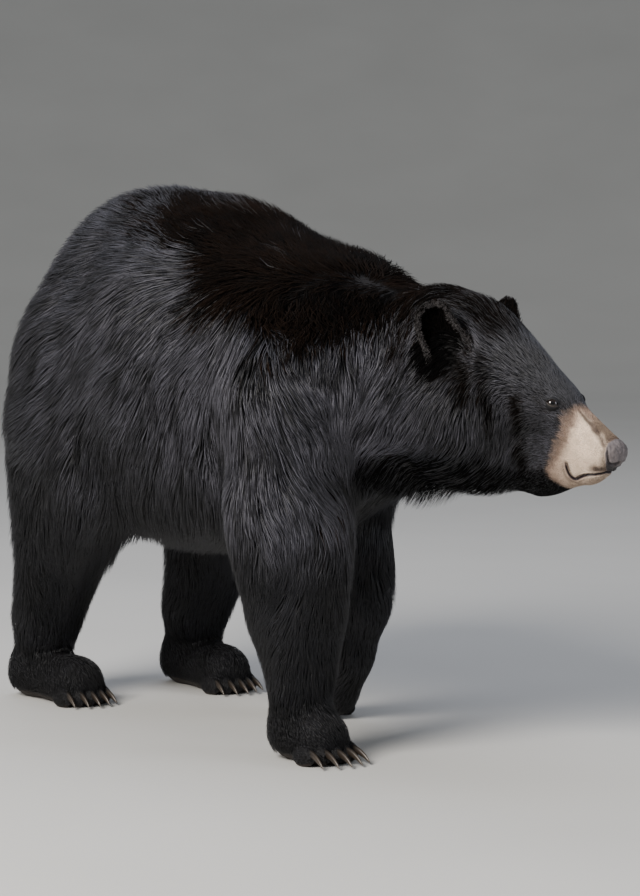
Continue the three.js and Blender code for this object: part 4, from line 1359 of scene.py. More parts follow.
@dataclass(frozen=True)
class ClawHorn:
    """Claw keratin: dark horn, streaked along its length and worn paler at the tip."""

    name: str = "claw_horn"
    base: str = "#1d1916"
    worn: str = "#5a4d40"
    roughness: float = 0.36
    streak_mm: float = 1.5
    stretch: Point = (0.15, 1.0, 0.6)

    def build(self) -> Material:
        """Makes the material, with the wear growing along each claw.

        Returns:
            The material.
        """
        paint = Paint(self.name, self.base)
        drawn = paint.add("ShaderNodeMapping", None, Vector=paint.where(), Scale=self.stretch).outputs[0]
        streak = paint.noise(self.streak_mm, 3.0, Vector=drawn)
        paint.over(self.worn, paint.times(paint.share("along"), streak))
        return paint.done(Roughness=self.roughness, IOR=1.54, Normal=paint.bumps(streak, 0.3, 0.3))


@dataclass(frozen=True)
class MattePaint:
    """Matt emulsion on a studio floor, rolled: even and pale, with the faintest mottle."""

    name: str = "floor_paint"
    base: str = "#c9c8c4"
    shade: str = "#bebdb9"
    mottle_mm: float = MM / 1.5

    def build(self) -> Material:
        """Makes the material, with the mottle between two near colours.

        Returns:
            The material.
        """
        paint = Paint(self.name, self.base)
        mottle = paint.noise(self.mottle_mm, 2.0, Vector=paint.where())
        return paint.over(self.shade, mottle).done(Roughness=0.9)


# ---- meshes
def points_of(mesh: Mesh) -> Array:
    """A mesh's points, one a row.

    Args:
        mesh: The mesh.

    Returns:
        Its points.
    """
    flat = np.empty(len(mesh.vertices) * 3)
    mesh.vertices.foreach_get("co", flat)
    return flat.reshape(-1, 3)


def meshed(bm: Modelled, name: str) -> Mesh:
    """Turns what was modelled into a mesh.

    Args:
        bm: What was modelled, which is given up.
        name: The mesh's name.

    Returns:
        The mesh.
    """
    mesh = bpy.data.meshes.new(name)
    bm.to_mesh(mesh)
    bm.free()
    return mesh


def shown(name: str, data: bpy.types.ID) -> Object:
    """Adds an object to the scene.

    Args:
        name: The object's name.
        data: Its mesh, light or camera.

    Returns:
        The object.
    """
    made = bpy.data.objects.new(name, data)
    bpy.context.scene.collection.objects.link(made)
    return made


def facing(at: Vector, look: Vector) -> Matrix:
    """The frame of a lamp or camera at a place that looks in a direction."""
    return Matrix.Translation(at) @ look.to_track_quat("-Z", "Y").to_matrix().to_4x4()


def reshaped(mesh: Mesh, p: Array) -> Mesh:
    """Moves a mesh's points to places in the animal's frame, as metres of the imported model.

    Args:
        mesh: The mesh.
        p: Where its points go, in the animal's frame.

    Returns:
        The same mesh.
    """
    mesh.vertices.foreach_set("co", to_scene(p).ravel())
    mesh.update()
    return mesh


def put_shares(mesh: Mesh, shares: Shares) -> None:
    """Stores a number for every point of a mesh, by name."""
    for name, values in shares.items():
        mesh.attributes.new(name, "FLOAT", "POINT").data.foreach_set("value", values.astype(np.float32))


def piece(name: str, mesh: Mesh, finishes: list[Material], slot: str, *nodes: str) -> Object:
    """Makes a mesh a piece of the model.

    Args:
        name: The piece's name.
        mesh: Its mesh, already in place.
        finishes: Its materials.
        slot: The record's material slot; not used.
        nodes: The CAD nodes that it stands for.

    Returns:
        The object.
    """
    made = shown(name, mesh)
    mesh.name = name
    for finish in finishes:
        mesh.materials.append(finish)
    mesh.shade_smooth()
    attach(made, "root")
    if nodes:
        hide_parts(*nodes)
    log.info("%s: %d points, %d faces", name, len(mesh.vertices), len(mesh.polygons))
    return made


# ---- the skin
@dataclass
class Skin:
    """One skin over the whole animal, finer towards the face."""

    form: Anatomy
    face: Face
    voxel: float = 9.0
    relax: int = 3
    pull: float = 0.55  # how far each round moves a point towards its neighbours' middle
    floor: float = 0.3
    face_from: float = 100.0  # forwards in the head's frame, where the mesh gets finer
    muzzle_from: float = 185.0
    sculpt_from: float = 150.0
    nodes: tuple[str, ...] = (
        "torso", "neck", "tail", "head", "muzzle", "nose",
        *(f"{part}_{name}" for part in ("leg", "paw") for name in Anatomy.paws),
    )

    def blank(self) -> Mesh:
        """The forms' rough shapes, run together into one shell.

        Returns:
            The shell's mesh.
        """
        bm = bmesh.new()
        for place, form in self.form.placed():
            form.shape(bm, place, 0.5)
        rough = shown("blank", meshed(bm, "blank"))
        remesh = rough.modifiers.new("shell", "REMESH")
        remesh.mode, remesh.voxel_size = "VOXEL", self.voxel
        shell = bpy.data.meshes.new_from_object(rough.evaluated_get(bpy.context.evaluated_depsgraph_get()))
        bpy.data.objects.remove(rough)
        return shell

    def even(self, mesh: Mesh, rounds: int) -> None:
        """Lays the mesh on the hide's level and evens its points out.

        Args:
            mesh: The skin so far, in millimetres.
            rounds: How often its points are evened out.
        """
        pairs = np.empty(len(mesh.edges) * 2, np.int64)
        mesh.edges.foreach_get("vertices", pairs)
        a, b = pairs.reshape(-1, 2).T
        both = np.concatenate([a, b])
        p = points_of(mesh)
        count = np.maximum(np.bincount(both, minlength=len(p))[:, None], 1)
        for turn in range(rounds + 1):
            level = self.face.level(p)
            p, _ = self.form.settle(p, level, 1 if turn < rounds else 2, self.voxel * 2)
            if turn == rounds:
                break
            sums = [np.bincount(both, np.concatenate([p[b, q], p[a, q]]), len(p)) for q in range(3)]
            p = p + (np.stack(sums, axis=1) / count - p) * self.pull
        p[:, 2] = np.maximum(p[:, 2], self.floor)
        mesh.vertices.foreach_set("co", p.ravel())
        mesh.update()

    def refine(self, mesh: Mesh, chosen: Callable[[Array], Array]) -> None:
        """Halves the faces whose middles are chosen.

        Args:
            mesh: The skin so far.
            chosen: Says which middles are to be halved.
        """
        bm = bmesh.new()
        bm.from_mesh(mesh)
        middles = np.array([f.calc_center_median() for f in bm.faces])
        picked = chosen(middles)
        edges = {e for f, pick in zip(bm.faces, picked) if pick for e in f.edges}
        bmesh.ops.subdivide_edges(bm, edges=list(edges), cuts=1, use_grid_fill=True)
        bm.to_mesh(mesh)
        bm.free()

    def build(self, finishes: list[Material]) -> Object:
        """Makes the skin with its face and its markings.

        Args:
            finishes: The hide, the nose's leather and the soles'.

        Returns:
            The skin.
        """
        mesh = self.blank()
        self.even(mesh, self.relax)
        for chosen in (self.face_or_foot, self.muzzle, self.detailed):
            self.refine(mesh, chosen)
            self.even(mesh, 1)
        p = points_of(mesh)
        _, n = self.form.slope(p, self.face.level(p))
        near = self.ahead(p, self.sculpt_from)
        p[near] = self.face.sculpt(p[near], n[near])
        marks = self.face.markings(p)
        pad = (p[:, 2] < 14) & (n[:, 2] < -0.35)
        put_shares(mesh, marks)
        made = piece("skin", reshaped(mesh, p), finishes, "fur_black", *self.nodes)
        self.assign(mesh, marks["leather"] > 0.5, pad)
        return made

    def ahead(self, p: Array, least: float) -> Array:
        """Which places of the head lie further forwards than least."""
        return (self.form.to_head(p)[:, 0] > least) & (self.form.headness(p) > 0.5)

    def face_or_foot(self, m: Array) -> Array:
        """Which places belong to the face or the feet."""
        return self.ahead(m, self.face_from) | (m[:, 2] < 60)

    def muzzle(self, m: Array) -> Array:
        """Which places belong to the muzzle."""
        return self.ahead(m, self.muzzle_from)

    def detailed(self, m: Array) -> Array:
        """Which places of the face need the finest mesh.

        Args:
            m: The places.

        Returns:
            True for each that does.
        """
        h = self.form.to_head(m)
        found = self.face.features(h)
        near = self.face.to_eye(h)
        fine = (found["line"] < 9) & (h[:, 0] > 250) | (h[:, 0] > 300) | (near < 22)
        return fine & (self.form.headness(m) > 0.5)

    def assign(self, mesh: Mesh, leather: Array, pad: Array) -> None:
        """Gives faces of nose and soles their own finish.

        Args:
            mesh: The skin.
            leather: Which of its points belong to the nose.
            pad: Which of them belong to the soles.
        """
        kinds = np.zeros(len(mesh.polygons), np.int32)
        for i, face in enumerate(mesh.polygons):
            corners = list(face.vertices)
            if leather[corners].mean() > 0.5:
                kinds[i] = 1
            elif pad[corners].mean() > 0.6:
                kinds[i] = 2
        mesh.polygons.foreach_set("material_index", kinds)
        mesh.update()


# ---- the coat
class Kind(Enum):
    """How finely one tuft is made: how far along it has its rings, and how wide they are."""

    LONG = ((0.3, 1.0), (0.66, 0.72))
    SHORT = ((0.4, 1.0),)


class Finish(Enum):
    """Which of the coat's materials a tuft has, by its number in the list."""

    GUARD = 0
    # the dull wool of the brown back, also a darker copy of the hair for painted shade
    WOOL = 1
    MUZZLE = 2


@dataclass
class Tufts:
    """Many tufts at once: their spines, widths and numbers for the shader."""

    kind: Kind
    spines: Array  # tuft, station, xyz
    lifts: Array
    widths: Array
    shares: Shares
    unwrap: Array
    finish: Array  # which of the hairs' finishes each takes
    ridge: ClassVar[float] = 0.62  # the height of the third edge, as a share of half the breadth
    patch: ClassVar[float] = 0.003  # each tuft's own part of the bake map

    def only(self, chosen: Array) -> "Tufts":
        """The chosen tufts alone.

        Args:
            chosen: Their numbers.

        Returns:
            The tufts.
        """
        shares = {name: values[chosen] for name, values in self.shares.items()}
        rows = (self.spines[chosen], self.lifts[chosen], self.widths[chosen], shares, self.unwrap[chosen])
        return Tufts(self.kind, *rows, self.finish[chosen])

    def mesh(self) -> Mesh:
        """Joins the tufts into one mesh, each a closed three-sided blade with a point at either end.

        Returns:
            The mesh, in metres, with its shares and the bake map.
        """
        rings = self.kind.value
        count, stations = self.spines.shape[:2]
        corners = 2 + 3 * len(rings)
        points = np.empty((count, corners, 3))
        points[:, 0], points[:, -1] = self.spines[:, 0], self.spines[:, -1]
        patch = np.zeros((corners, 2))
        patch[0], patch[-1] = (0.5, 0), (0.5, 1)
        along = np.zeros(corners)
        along[-1] = 1
        for k, (t, wide) in enumerate(rings):
            at = self.spines[:, k + 1]
            heading = unit(self.spines[:, k + 2] - self.spines[:, k])
            lift = self.lifts[:, k + 1]
            side = unit(np.cross(lift, heading))
            half = (self.widths * wide / 2)[:, None]
            first = 1 + 3 * k
            points[:, first] = at - side * half
            points[:, first + 1] = at + side * half
            points[:, first + 2] = at + lift * half * self.ridge
            patch[first : first + 3] = [(0, t), (1, t), (0.5, t)]
            along[first : first + 3] = t
        faces = []
        for i, j in ((1, 2), (2, 3), (3, 1)):
            faces.append((0, j, i))
            for k in range(len(rings) - 1):
                a, b = i + 3 * k, j + 3 * k
                faces += [(a, b, b + 3), (a, b + 3, a + 3)]
            last = 3 * (len(rings) - 1)
            faces.append((i + last, j + last, corners - 1))
        one = np.array(faces)
        index = (np.arange(count)[:, None, None] * corners + one).reshape(-1, 3)
        mesh = bpy.data.meshes.new("tufts")
        mesh.vertices.add(count * corners)
        mesh.vertices.foreach_set("co", to_scene(points.reshape(-1, 3)).ravel())
        mesh.loops.add(index.size)
        mesh.loops.foreach_set("vertex_index", index.ravel())
        mesh.polygons.add(len(index))
        mesh.polygons.foreach_set("loop_start", np.arange(0, index.size, 3))
        mesh.polygons.foreach_set("material_index", np.repeat(self.finish.astype(np.int32), len(one)))
        mesh.update(calc_edges=True)
        put_shares(mesh, {name: np.repeat(v, corners) for name, v in self.shares.items()})
        put_shares(mesh, {"along": np.tile(along, count)})
        uv = (self.unwrap[:, None] + (patch - 0.5) * self.patch).reshape(-1, 2)
        mesh.uv_layers.new(name="OFBake").data.foreach_set("uv", uv[index.ravel()].ravel())
        return mesh


@dataclass
class Coat:
    """The hair over the whole skin, in locks that bend along its lie."""

    form: Anatomy
    face: Face
    lie: Lie
    lock: float = 28.0  # between the middles of neighbouring locks on the body
    most: int = 195000  # triangles a piece
    layers: tuple[tuple[float, ...], ...] = ((4, 10, 30, 50, 85), (1.5, 2.3, 3.2, 3.9, 5.1))  # by length
    cover: float = 0.62  # the share of its length and breadth that a tuft covers
    breadth: Span = (0.7, 0.022)  # of a tuft: the least, and how it grows with length
    buried: float = 1.5  # how deep a root lies below the skin
    lowest: float = 1.2  # no hair reaches nearer the floor
    uneven: Span = (0.7, 1.15)  # from hair to hair, of the length
    settled: float = 0.94  # the share of the hairs that stay down
    proud: float = 0.14  # how much further the others rise, of the coat's depth
    hold: Span = (0.12, 0.42)  # how hard a lock draws its hairs in, at root and tip
    leg_middles: ClassVar[list[Span]] = [(346, -140), (110, 130), (-350, -155), (-330, 150)]
    legs_part: float = -60.0  # forelegs lie ahead of it, hind legs behind
    fine_below: float = 30.0  # hair on the head that is shorter is made of simpler tufts
    rng: np.random.Generator = field(default_factory=lambda: np.random.default_rng(SEED))

    def width(self, length: Array) -> Array:
        """The breadth of a tuft of a given length."""
        return self.breadth[0] + self.breadth[1] * length

    def roots(self, skin: Mesh) -> Array:
        """Spreads roots over the skin, denser where the hair is shorter.

        Args:
            skin: The skin's mesh.

        Returns:
            The roots.
        """
        skin.calc_loop_triangles()
        corners = np.empty(len(skin.loop_triangles) * 3, np.int64)
        skin.loop_triangles.foreach_get("vertices", corners)
        p = points_of(skin)[corners.reshape(-1, 3)] * MM - SHIFT
        area = np.linalg.norm(np.cross(p[:, 1] - p[:, 0], p[:, 2] - p[:, 0]), axis=1) / 2
        middle = p.mean(axis=1)
        length = self.lie.length(middle)
        layers = np.interp(length, *self.layers) * (0.6 + 0.4 * smooth(middle[:, 2], 60, 200))
        want = area * layers / (length * self.width(length) * self.cover)
        total = np.cumsum(want)
        picks = np.searchsorted(total, np.arange(self.rng.uniform(), total[-1], 1.0))
        picks = np.minimum(picks, len(p) - 1)
        u, v = self.rng.uniform(size=(2, len(picks)))
        over = u + v > 1
        u, v = np.where(over, 1 - u, u), np.where(over, 1 - v, v)
        q = p[picks]
        return q[:, 0] + (q[:, 1] - q[:, 0]) * u[:, None] + (q[:, 2] - q[:, 0]) * v[:, None]

    def spines(self, roots: Array, lengths: Array, stations: list[float], rise: Array, hang: Array) -> Pair:
        """Grows hairs from their roots along the body.

        Args:
            roots: Where they start.
            lengths: Their lengths.
            stations: Shares of the length at which they have a point.
            rise: How much of the coat's depth the tip reaches.
            hang: How far the tip drops, in millimetres.

        Returns:
            Each hair's points, and the outward direction at each.
        """
        deep, n = self.form.slope(roots, 0.0)
        loft = self.lie.loft(roots, n)
        place = roots - n * self.buried
        points, lifts = [place], [n]
        before = 0.0
        for t in stations:
            heading = self.lie.flow(place, n)
            place = place + heading * ((t - before) * lengths)[:, None]
            d, n = self.form.slope(place, 0.0)
            target = deep + (loft - deep) * rise * t**0.8
            place = place + n * np.clip(target - d, -40, 40)[:, None]
            place = place - np.array([0, 0, 1]) * (hang * t * t)[:, None]
            place[:, 2] = np.maximum(place[:, 2], self.lowest)
            points.append(place)
            lifts.append(n)
            before = t
        return np.stack(points, axis=1), np.stack(lifts, axis=1)

    def grow(self, roots: Array, kind: Kind) -> Tufts:
        """Makes tufts at the roots, drawn together into locks.

        Args:
            roots: Where they are rooted.
            kind: How finely each is made.

        Returns:
            The tufts.
        """
        stations = [t for t, _ in kind.value] + [1.0]
        count = len(roots)
        _, n = self.form.slope(roots, 0.0)
        marks = self.face.markings(roots)
        brown = marks["brown"] * smooth(self.lie.length(roots), 20, 40)
        lengths = self.lie.length(roots) * self.rng.uniform(*self.uneven, count)
        rise = self.rng.uniform(0.7, 1.0, count)
        rise += self.proud * (self.rng.uniform(size=count) > self.settled)
        parting = self.partings(roots)
        rise *= 1 - 0.4 * parting
        points, lifts = self.spines(roots, lengths, stations, rise, self.lie.droop(roots, n))
        starts = roots[self.guides(roots)]
        paths, phase = self.locks(starts, stations)
        mine, _ = nearest(starts, roots)
        pull = smooth(lengths, 14, 36) * np.clip(0.65 + 0.35 * Ripple(31, 120.0).at(roots), 0.15, 1)
        shaggy = smooth(roots[:, 2], 120, 200) * (1 - smooth(roots[:, 2], 330, 450)) * 0.07
        stray = self.rng.normal(0, 0.045, count) + self.rng.normal(0, 1, count) * (0.16 * brown + shaggy)
        curl = lengths * (0.012 + 0.07 * brown)
        turn = phase[mine] + self.rng.normal(0, 0.5, count)
        for k, t in enumerate(stations, 1):
            follow = paths[mine, k] - paths[mine, 0] - (points[:, k] - points[:, 0])
            strength = (pull * (self.hold[0] + self.hold[1] * t))[:, None]
            points[:, k] += follow * strength + (starts[mine] - roots) * strength * (0.8 * t)
            side = unit(np.cross(lifts[:, k], points[:, k] - points[:, 0]))
            points[:, k] += side * (np.sin(turn + 6.0 * t) * curl + stray * lengths * t)[:, None]
        points[:, :, 2] = np.maximum(points[:, :, 2], 1.0)
        shares = {name: marks[name] for name in MARKS}
        # Painted light and shade of each tuft: paler on top and the flank, darker underneath, in the
        # partings and in the dark strokes.
        worn = self.daylight(roots, n) * (1 - 0.7 * parting) * (1 - 0.7 * marks["dusk"])
        shares["tone"] = self.tones(roots, marks, phase[mine], worn)
        widths = self.width(lengths) * self.rng.uniform(0.65, 1.3, count)
        # the dull wool finish is also a darker copy of the hair, painting shade in the hollows and under the
        # throat
        dull_and_shaded = np.maximum.reduce([marks["brown"], marks["hollow"], 0.75 * self.throat(roots, n)])
        finish = np.where(self.rng.uniform(size=count) < dull_and_shaded, Finish.WOOL.value, Finish.GUARD.value)
        finish = np.where(marks["cream"] > 0.3, Finish.MUZZLE.value, finish)
        return Tufts(kind, points, lifts, widths, shares, self.unwrapped(roots), finish)

    def tones(self, p: Array, marks: Shares, phase: Array, worn: Array) -> Array:
        """How pale each tuft is.

        Args:
            p: The points.
            marks: The markings there.
            phase: The angle of each tuft's own lock.
            worn: The painted light and shade of the place.

        Returns:
            Shares from 0 to 1.
        """
        tone = 0.5 + 0.24 * np.sin(phase * 3) + 0.15 * Ripple(32, 90.0).at(p)
        tone = tone + self.rng.normal(0, 1, len(p)) * (0.2 + 0.12 * marks["grey"])
        tone = tone + 0.2 * marks["grey"] * Ripple(33, 16.0).at(p)
        # times the painted light and shade
        tone = np.clip(tone, 0, 1) * worn
        return np.clip(mix(tone, tone * 0.5 + 0.45, marks["cream"]), 0, 1)

    def partings(self, p: Array) -> Array:
        """Narrow partings between the locks of the body, drawn out along its lie.

        Args:
            p: The points.

        Returns:
            Shares from 0 to 1.
        """
        x, y, z = p.T
        lean = np.interp(x, [-250, 250], [0.9, 0.0])
        drawn = np.stack([x - lean * (z - 600), y * 0.5, z * 0.16], axis=1)
        body = smooth(z, 300, 380) * (1 - self.form.headness(p)) * (1 - 0.6 * smooth(x, 50, 250))
        return smooth(Ripple(41, 66.0).at(drawn), 1.25, 1.8) * body

    def daylight(self, p: Array, n: Array) -> Array:
        """Painted light and shade on the tips: paler higher up and on the flank, darker on the legs, behind
        the thighs, underneath and under the throat.

        Args:
            p: The points.
            n: The outward direction at each.

        Returns:
            Shares, over 1 where the painted light is strongest.
        """
        x, _, z = p.T
        height = smooth(z + 1.9 * np.minimum(x + 160, 0), 260, 490)
        lowest = np.interp(x, [-100, 250, 350], [500, 390, 340])
        flank = np.interp(x, [-200, 0, 150], [0.0, 0.2, 1.0]) * smooth(z, lowest, lowest + 110)
        flank = flank * smooth(1 - np.abs(n[:, 2]), 0.2, 0.6) * (1 - smooth(x, 520, 600))
        # painted light on top and the flank, painted shade underneath
        lit = (0.38 + 0.62 * height) * (1 + flank) * (1 - 0.75 * smooth(-n[:, 2], 0.0, 0.6))
        return lit * (1 - 0.8 * self.throat(p, n))

    def throat(self, p: Array, n: Array) -> Array:
        """How much painted shade falls on a place under the neck and jaw."""
        level = p[:, 2] - 70 * smooth(-n[:, 2], 0.0, 0.6)
        return (1 - smooth(level, 425, 495)) * smooth(p[:, 0], 420, 470)

    def guides(self, roots: Array) -> Array:
        """Picks which roots lead a lock: one in each small cell.

        Args:
            roots: All roots.

        Returns:
            The numbers of those that lead.
        """
        wide = np.interp(self.lie.length(roots), [10, 30, 70], [8, 15, self.lock])
        cell = np.floor((roots + 5000) / wide[:, None]).astype(np.int64)
        key = (cell[:, 0] * 7919 + cell[:, 1]) * 7927 + cell[:, 2]
        _, first = np.unique(key, return_index=True)
        return first

    def locks(self, starts: Array, stations: list[float]) -> Pair:
        """Grows the path that each lock follows.

        Args:
            starts: Where the locks' middles are rooted.
            stations: Shares of the length at which a hair has a point.

        Returns:
            Each lock's points, and its own angle for what varies from lock to lock.
        """
        _, n = self.form.slope(starts, 0.0)
        count = len(starts)
        lengths = self.lie.length(starts) * self.rng.uniform(0.85, 1.15, count)
        rise = self.rng.uniform(0.75, 1.02, count)
        paths, lifts = self.spines(starts, lengths, stations, rise, self.lie.droop(starts, n))
        swerve = self.rng.normal(0, 0.1, count) * lengths
        for k, t in enumerate(stations, 1):
            side = unit(np.cross(lifts[:, k], paths[:, k] - paths[:, 0]))
            paths[:, k] += side * (swerve * t * t)[:, None]
        return paths, self.rng.uniform(0, 2 * math.pi, count)

    def unwrapped(self, p: Array) -> Array:
        """Where a place on the skin lies on its unwrap: round the trunk, the head or its own leg.

        Args:
            p: The points.

        Returns:
            The place of each on the map, from 0 to 1 each way.
        """
        h = self.form.to_head(p)
        trunk = np.stack([(p[:, 0] + 650) / 1250, self.round_of(p[:, 1], p[:, 2] - 590)], axis=1)
        head = np.stack([(h[:, 0] + 140) / 500, self.round_of(h[:, 1], h[:, 2] + 60)], axis=1)
        number = (p[:, 0] < self.legs_part) * 2 + (p[:, 1] > 0)
        middle = np.array(self.leg_middles)[number]
        around = self.round_of(p[:, 1] - middle[:, 1], p[:, 0] - middle[:, 0])
        leg = np.stack([(number + around) / 4, 0.01 + p[:, 2] / 720], axis=1)
        made = np.where(self.is_head(p)[:, None], head, np.where(self.is_leg(p)[:, None], leg, trunk))
        return np.clip(made, 0.005, 0.995)

    @staticmethod
    def round_of(a: Array, b: Array) -> Array:
        """The share of the way round that a direction lies at."""
        return 0.01 + 0.98 * (np.arctan2(a, b) / (2 * math.pi) + 0.5)

    def is_head(self, p: Array) -> Array:
        """Which roots belong to the head's pieces."""
        return self.form.headness(p) > 0.5

    def is_leg(self, p: Array) -> Array:
        """Which roots belong to the legs' pieces."""
        return (p[:, 2] < 330) & ~self.is_head(p)

    def build(self, skin: Mesh, hairs: list[Material]) -> None:
        """Makes every piece of the coat.

        Args:
            skin: The skin's mesh.
            hairs: The finishes of the hair, in the order of Finish.
        """
        roots = self.roots(skin)
        marks = self.face.markings(roots)
        _, n = self.form.slope(roots, 0.0)
        sole = (roots[:, 2] < 16) & (n[:, 2] < -0.3)
        roots = roots[(marks["bare"] < 0.4) & ~sole]
        head, leg = self.is_head(roots), self.is_leg(roots)
        short = head & (self.lie.length(roots) < self.fine_below)
        x = roots[:, 0]
        groups = {
            "coat_face": (short, Kind.SHORT, "fur_tan"),
            "coat_head": (head & ~short, Kind.LONG, "fur_black"),
            "coat_forelegs": (leg & (x > self.legs_part), Kind.SHORT, "fur_black"),
            "coat_hindlegs": (leg & (x <= self.legs_part), Kind.SHORT, "fur_black"),
            "coat_trunk": (~head & ~leg, Kind.LONG, "fur_black"),
        }
        for name, (mask, kind, slot) in groups.items():
            tufts = self.trimmed(self.grow(roots[mask], kind))
            parts = math.ceil(len(tufts.spines) * 6 * len(kind.value) / self.most)
            order = np.argsort(tufts.spines[:, 0, 0], kind="stable")
            for number, chosen in enumerate(np.array_split(order, parts), 1):
                piece(f"{name}_{number}" if parts > 1 else name, tufts.only(chosen).mesh(), hairs, slot)

    def trimmed(self, tufts: Tufts) -> Tufts:
        """Leaves out the tufts whose tips would cross the eyes, the lips or the nose.

        Args:
            tufts: The tufts that grew.

        Returns:
            Those that stay.
        """
        clear = np.ones(len(tufts.spines), bool)
        for station in (1, -1):
            found = self.face.markings(tufts.spines[:, station])
            clear &= (found["bare"] < 0.5) & (found["lid"] < 0.7)
        return tufts.only(np.nonzero(clear)[0])


# ---- ears, eyes and claws
class Strand(IntEnum):
    """Where a hair of the ear grows."""

    BACK = 0
    RIM = 1
    INSIDE = 2


@dataclass
class Ear:
    """One round ear: a furred cup that opens forwards and outwards."""

    form: Anatomy
    name: str
    thick: float = 6.0
    hairs_back: int = 3400
    hairs_rim: int = 3000
    hairs_inside: int = 1500
    cells: tuple[int, int] = (28, 30)
    skin: float = 1.5  # how far below its hair the back of the cup lies
    over_top: float = 0.36  # the share of the rim that lies over the top

    def at(self, t: Array, turn: Array, inner: Array | float = 0.0) -> Array:
        """Points of the cup in the animal's frame, by height, turn and depth below its back."""
        return self.form.to_body(EarShape.at(SIDES[self.name], t, turn, inner + np.zeros(len(t))))

    def build(self, finish: Material, hairs: list[Material]) -> None:
        """Makes the cup and the short hair on it.

        Args:
            finish: The hide.
            hairs: The finishes of the hair, in the order of Finish.
        """
        bm = bmesh.new()
        bmesh.ops.create_grid(bm, x_segments=self.cells[0], y_segments=self.cells[1], size=1.0)
        flat = np.array([v.co for v in bm.verts])
        t = 1 - (1 - (flat[:, 1] + 1) / 2) ** 1.5
        back = self.at(t, flat[:, 0], self.skin)
        for v, at in zip(bm.verts, back):
            v.co = at
        bmesh.ops.recalc_face_normals(bm, faces=bm.faces)
        bmesh.ops.solidify(bm, geom=bm.faces, thickness=self.thick - 2.5)
        mesh = meshed(bm, "ear")
        p = points_of(mesh)
        blank = np.zeros(len(p))
        put_shares(mesh, {k: blank for k in (*MARKS, "lid", "bare", "lips", "leather") if k != "hollow"})
        # Painted shade over the inner face of the cup.
        _, under = nearest(back, p)
        put_shares(mesh, {"hollow": smooth(under, 1, 2.5)})
        piece(f"ear_{self.name}_cup", reshaped(mesh, p), [finish], "fur_black", f"ear_{self.name}")
        piece(f"coat_ear_{self.name}", self.hairs().mesh(), hairs, "fur_black")

    def hairs(self) -> Tufts:
        """Short hair on the back of the cup, paler round its rim, and longer inside.

        Returns:
            The tufts of the ear.
        """
        rng = np.random.default_rng(SEED + 50 + SIDES[self.name])
        back, rim, inside = self.hairs_back, self.hairs_rim, self.hairs_inside
        count = back + rim + inside
        kind = np.repeat(list(Strand), [back, rim, inside])
        on_rim, within = kind == Strand.RIM, kind == Strand.INSIDE
        place = rng.uniform(-1, 1, rim)  # round the rim, from its rear foot over the top to its front foot
        top = np.abs(place) < self.over_top
        rim_t = np.where(top, rng.uniform(0.965, 1.0, rim), 1 - (np.abs(place) - self.over_top) * 1.5)
        rim_turn = np.where(top, place / self.over_top, np.sign(place) * rng.uniform(0.92, 1.0, rim))
        t = np.concatenate([rng.uniform(0.02, 1.0, back), rim_t, rng.uniform(0.02, 0.95, inside)])
        turn = np.concatenate([rng.uniform(-1, 1, back), rim_turn, rng.uniform(-1, 1, inside)])
        depth = np.where(on_rim, rng.uniform(0, self.thick, count), 1.0)
        depth = np.where(within, self.thick - self.skin, depth)
        root = self.at(t, turn, depth)
        up = unit(self.at(t + 0.02, turn, depth) - self.at(t - 0.02, turn, depth))
        across = unit(self.at(t, turn + 0.03, depth) - self.at(t, turn - 0.03, depth))
        n = unit(np.cross(up, across))
        outward = np.sign(np.sum(n * (root - self.at(t, turn, depth + 6)), axis=1, keepdims=True))
        n = n * np.where(outward == 0, 1, outward) * np.where(within, -1, 1)[:, None]
        fold = within & (t < 0.22) & (np.abs(turn - 0.1) < 0.35)
        lengths = np.choose(kind, [12, 7, 13]) * rng.uniform(0.6, 1.3, count) * np.where(fold, 1.6, 1)
        lengths *= 1 - 0.4 * ~within * smooth(t, 0.7, 1.0)
        outwards = np.sign(turn) * np.choose(kind, [0.25, 0.9, 0.1]) * np.where(np.abs(turn) > 0.8, 1, 0.4)
        rise = np.where(on_rim, rng.normal(0, 0.4, count), np.choose(kind, [0.22, 0, 0.3]))[:, None]
        wild = rng.normal(0, 1, (count, 3)) * np.choose(kind, [0.16, 0.3, 0.16])[:, None]
        heading = up * np.choose(kind, [1, 0.7, 1])[:, None] + across * outwards[:, None] + wild
        heading = unit(unit(heading) + n * rise)
        stations = np.array([0.0, 0.4, 1.0])
        spines = (root - n * 0.8)[:, None] + heading[:, None] * (stations[:, None] * lengths[:, None, None])
        spines[:, 2] -= n * (lengths * 0.1)[:, None]
        shares = {name: np.zeros(count) for name in MARKS}
        shares["grey"] = np.where(fold, 0.9, np.choose(kind, [0.0, 0.4, 0.0]))
        shares["bridge"] = np.where(fold, 0.2, np.choose(kind, [0.0, 0.12, 0.0]))
        # painted shade on the hairs inside the cup
        shares["hollow"] = np.where(within & ~fold, 0.8, 0.0)
        shares["brown"] = np.choose(kind, [0.6, 0.0, 0.0])
        shares["tone"] = np.clip(rng.normal(np.choose(kind, [0.3, 0.5, 0.5]), 0.2), 0, 1)
        unwrap = np.stack([0.05 + 0.9 * (turn + 1) / 2, 0.03 + 0.45 * t + 0.5 * within], axis=1)
        widths = np.choose(kind, [1.2, 0.8, 1.2]) + 0.02 * lengths
        dull_and_shaded = (shares["hollow"] > 0.5) | (kind == Strand.BACK)
        finish = np.where(dull_and_shaded, Finish.WOOL.value, Finish.GUARD.value)
        return Tufts(Kind.SHORT, spines, np.repeat(n[:, None], 3, axis=1), widths, shares, unwrap, finish)


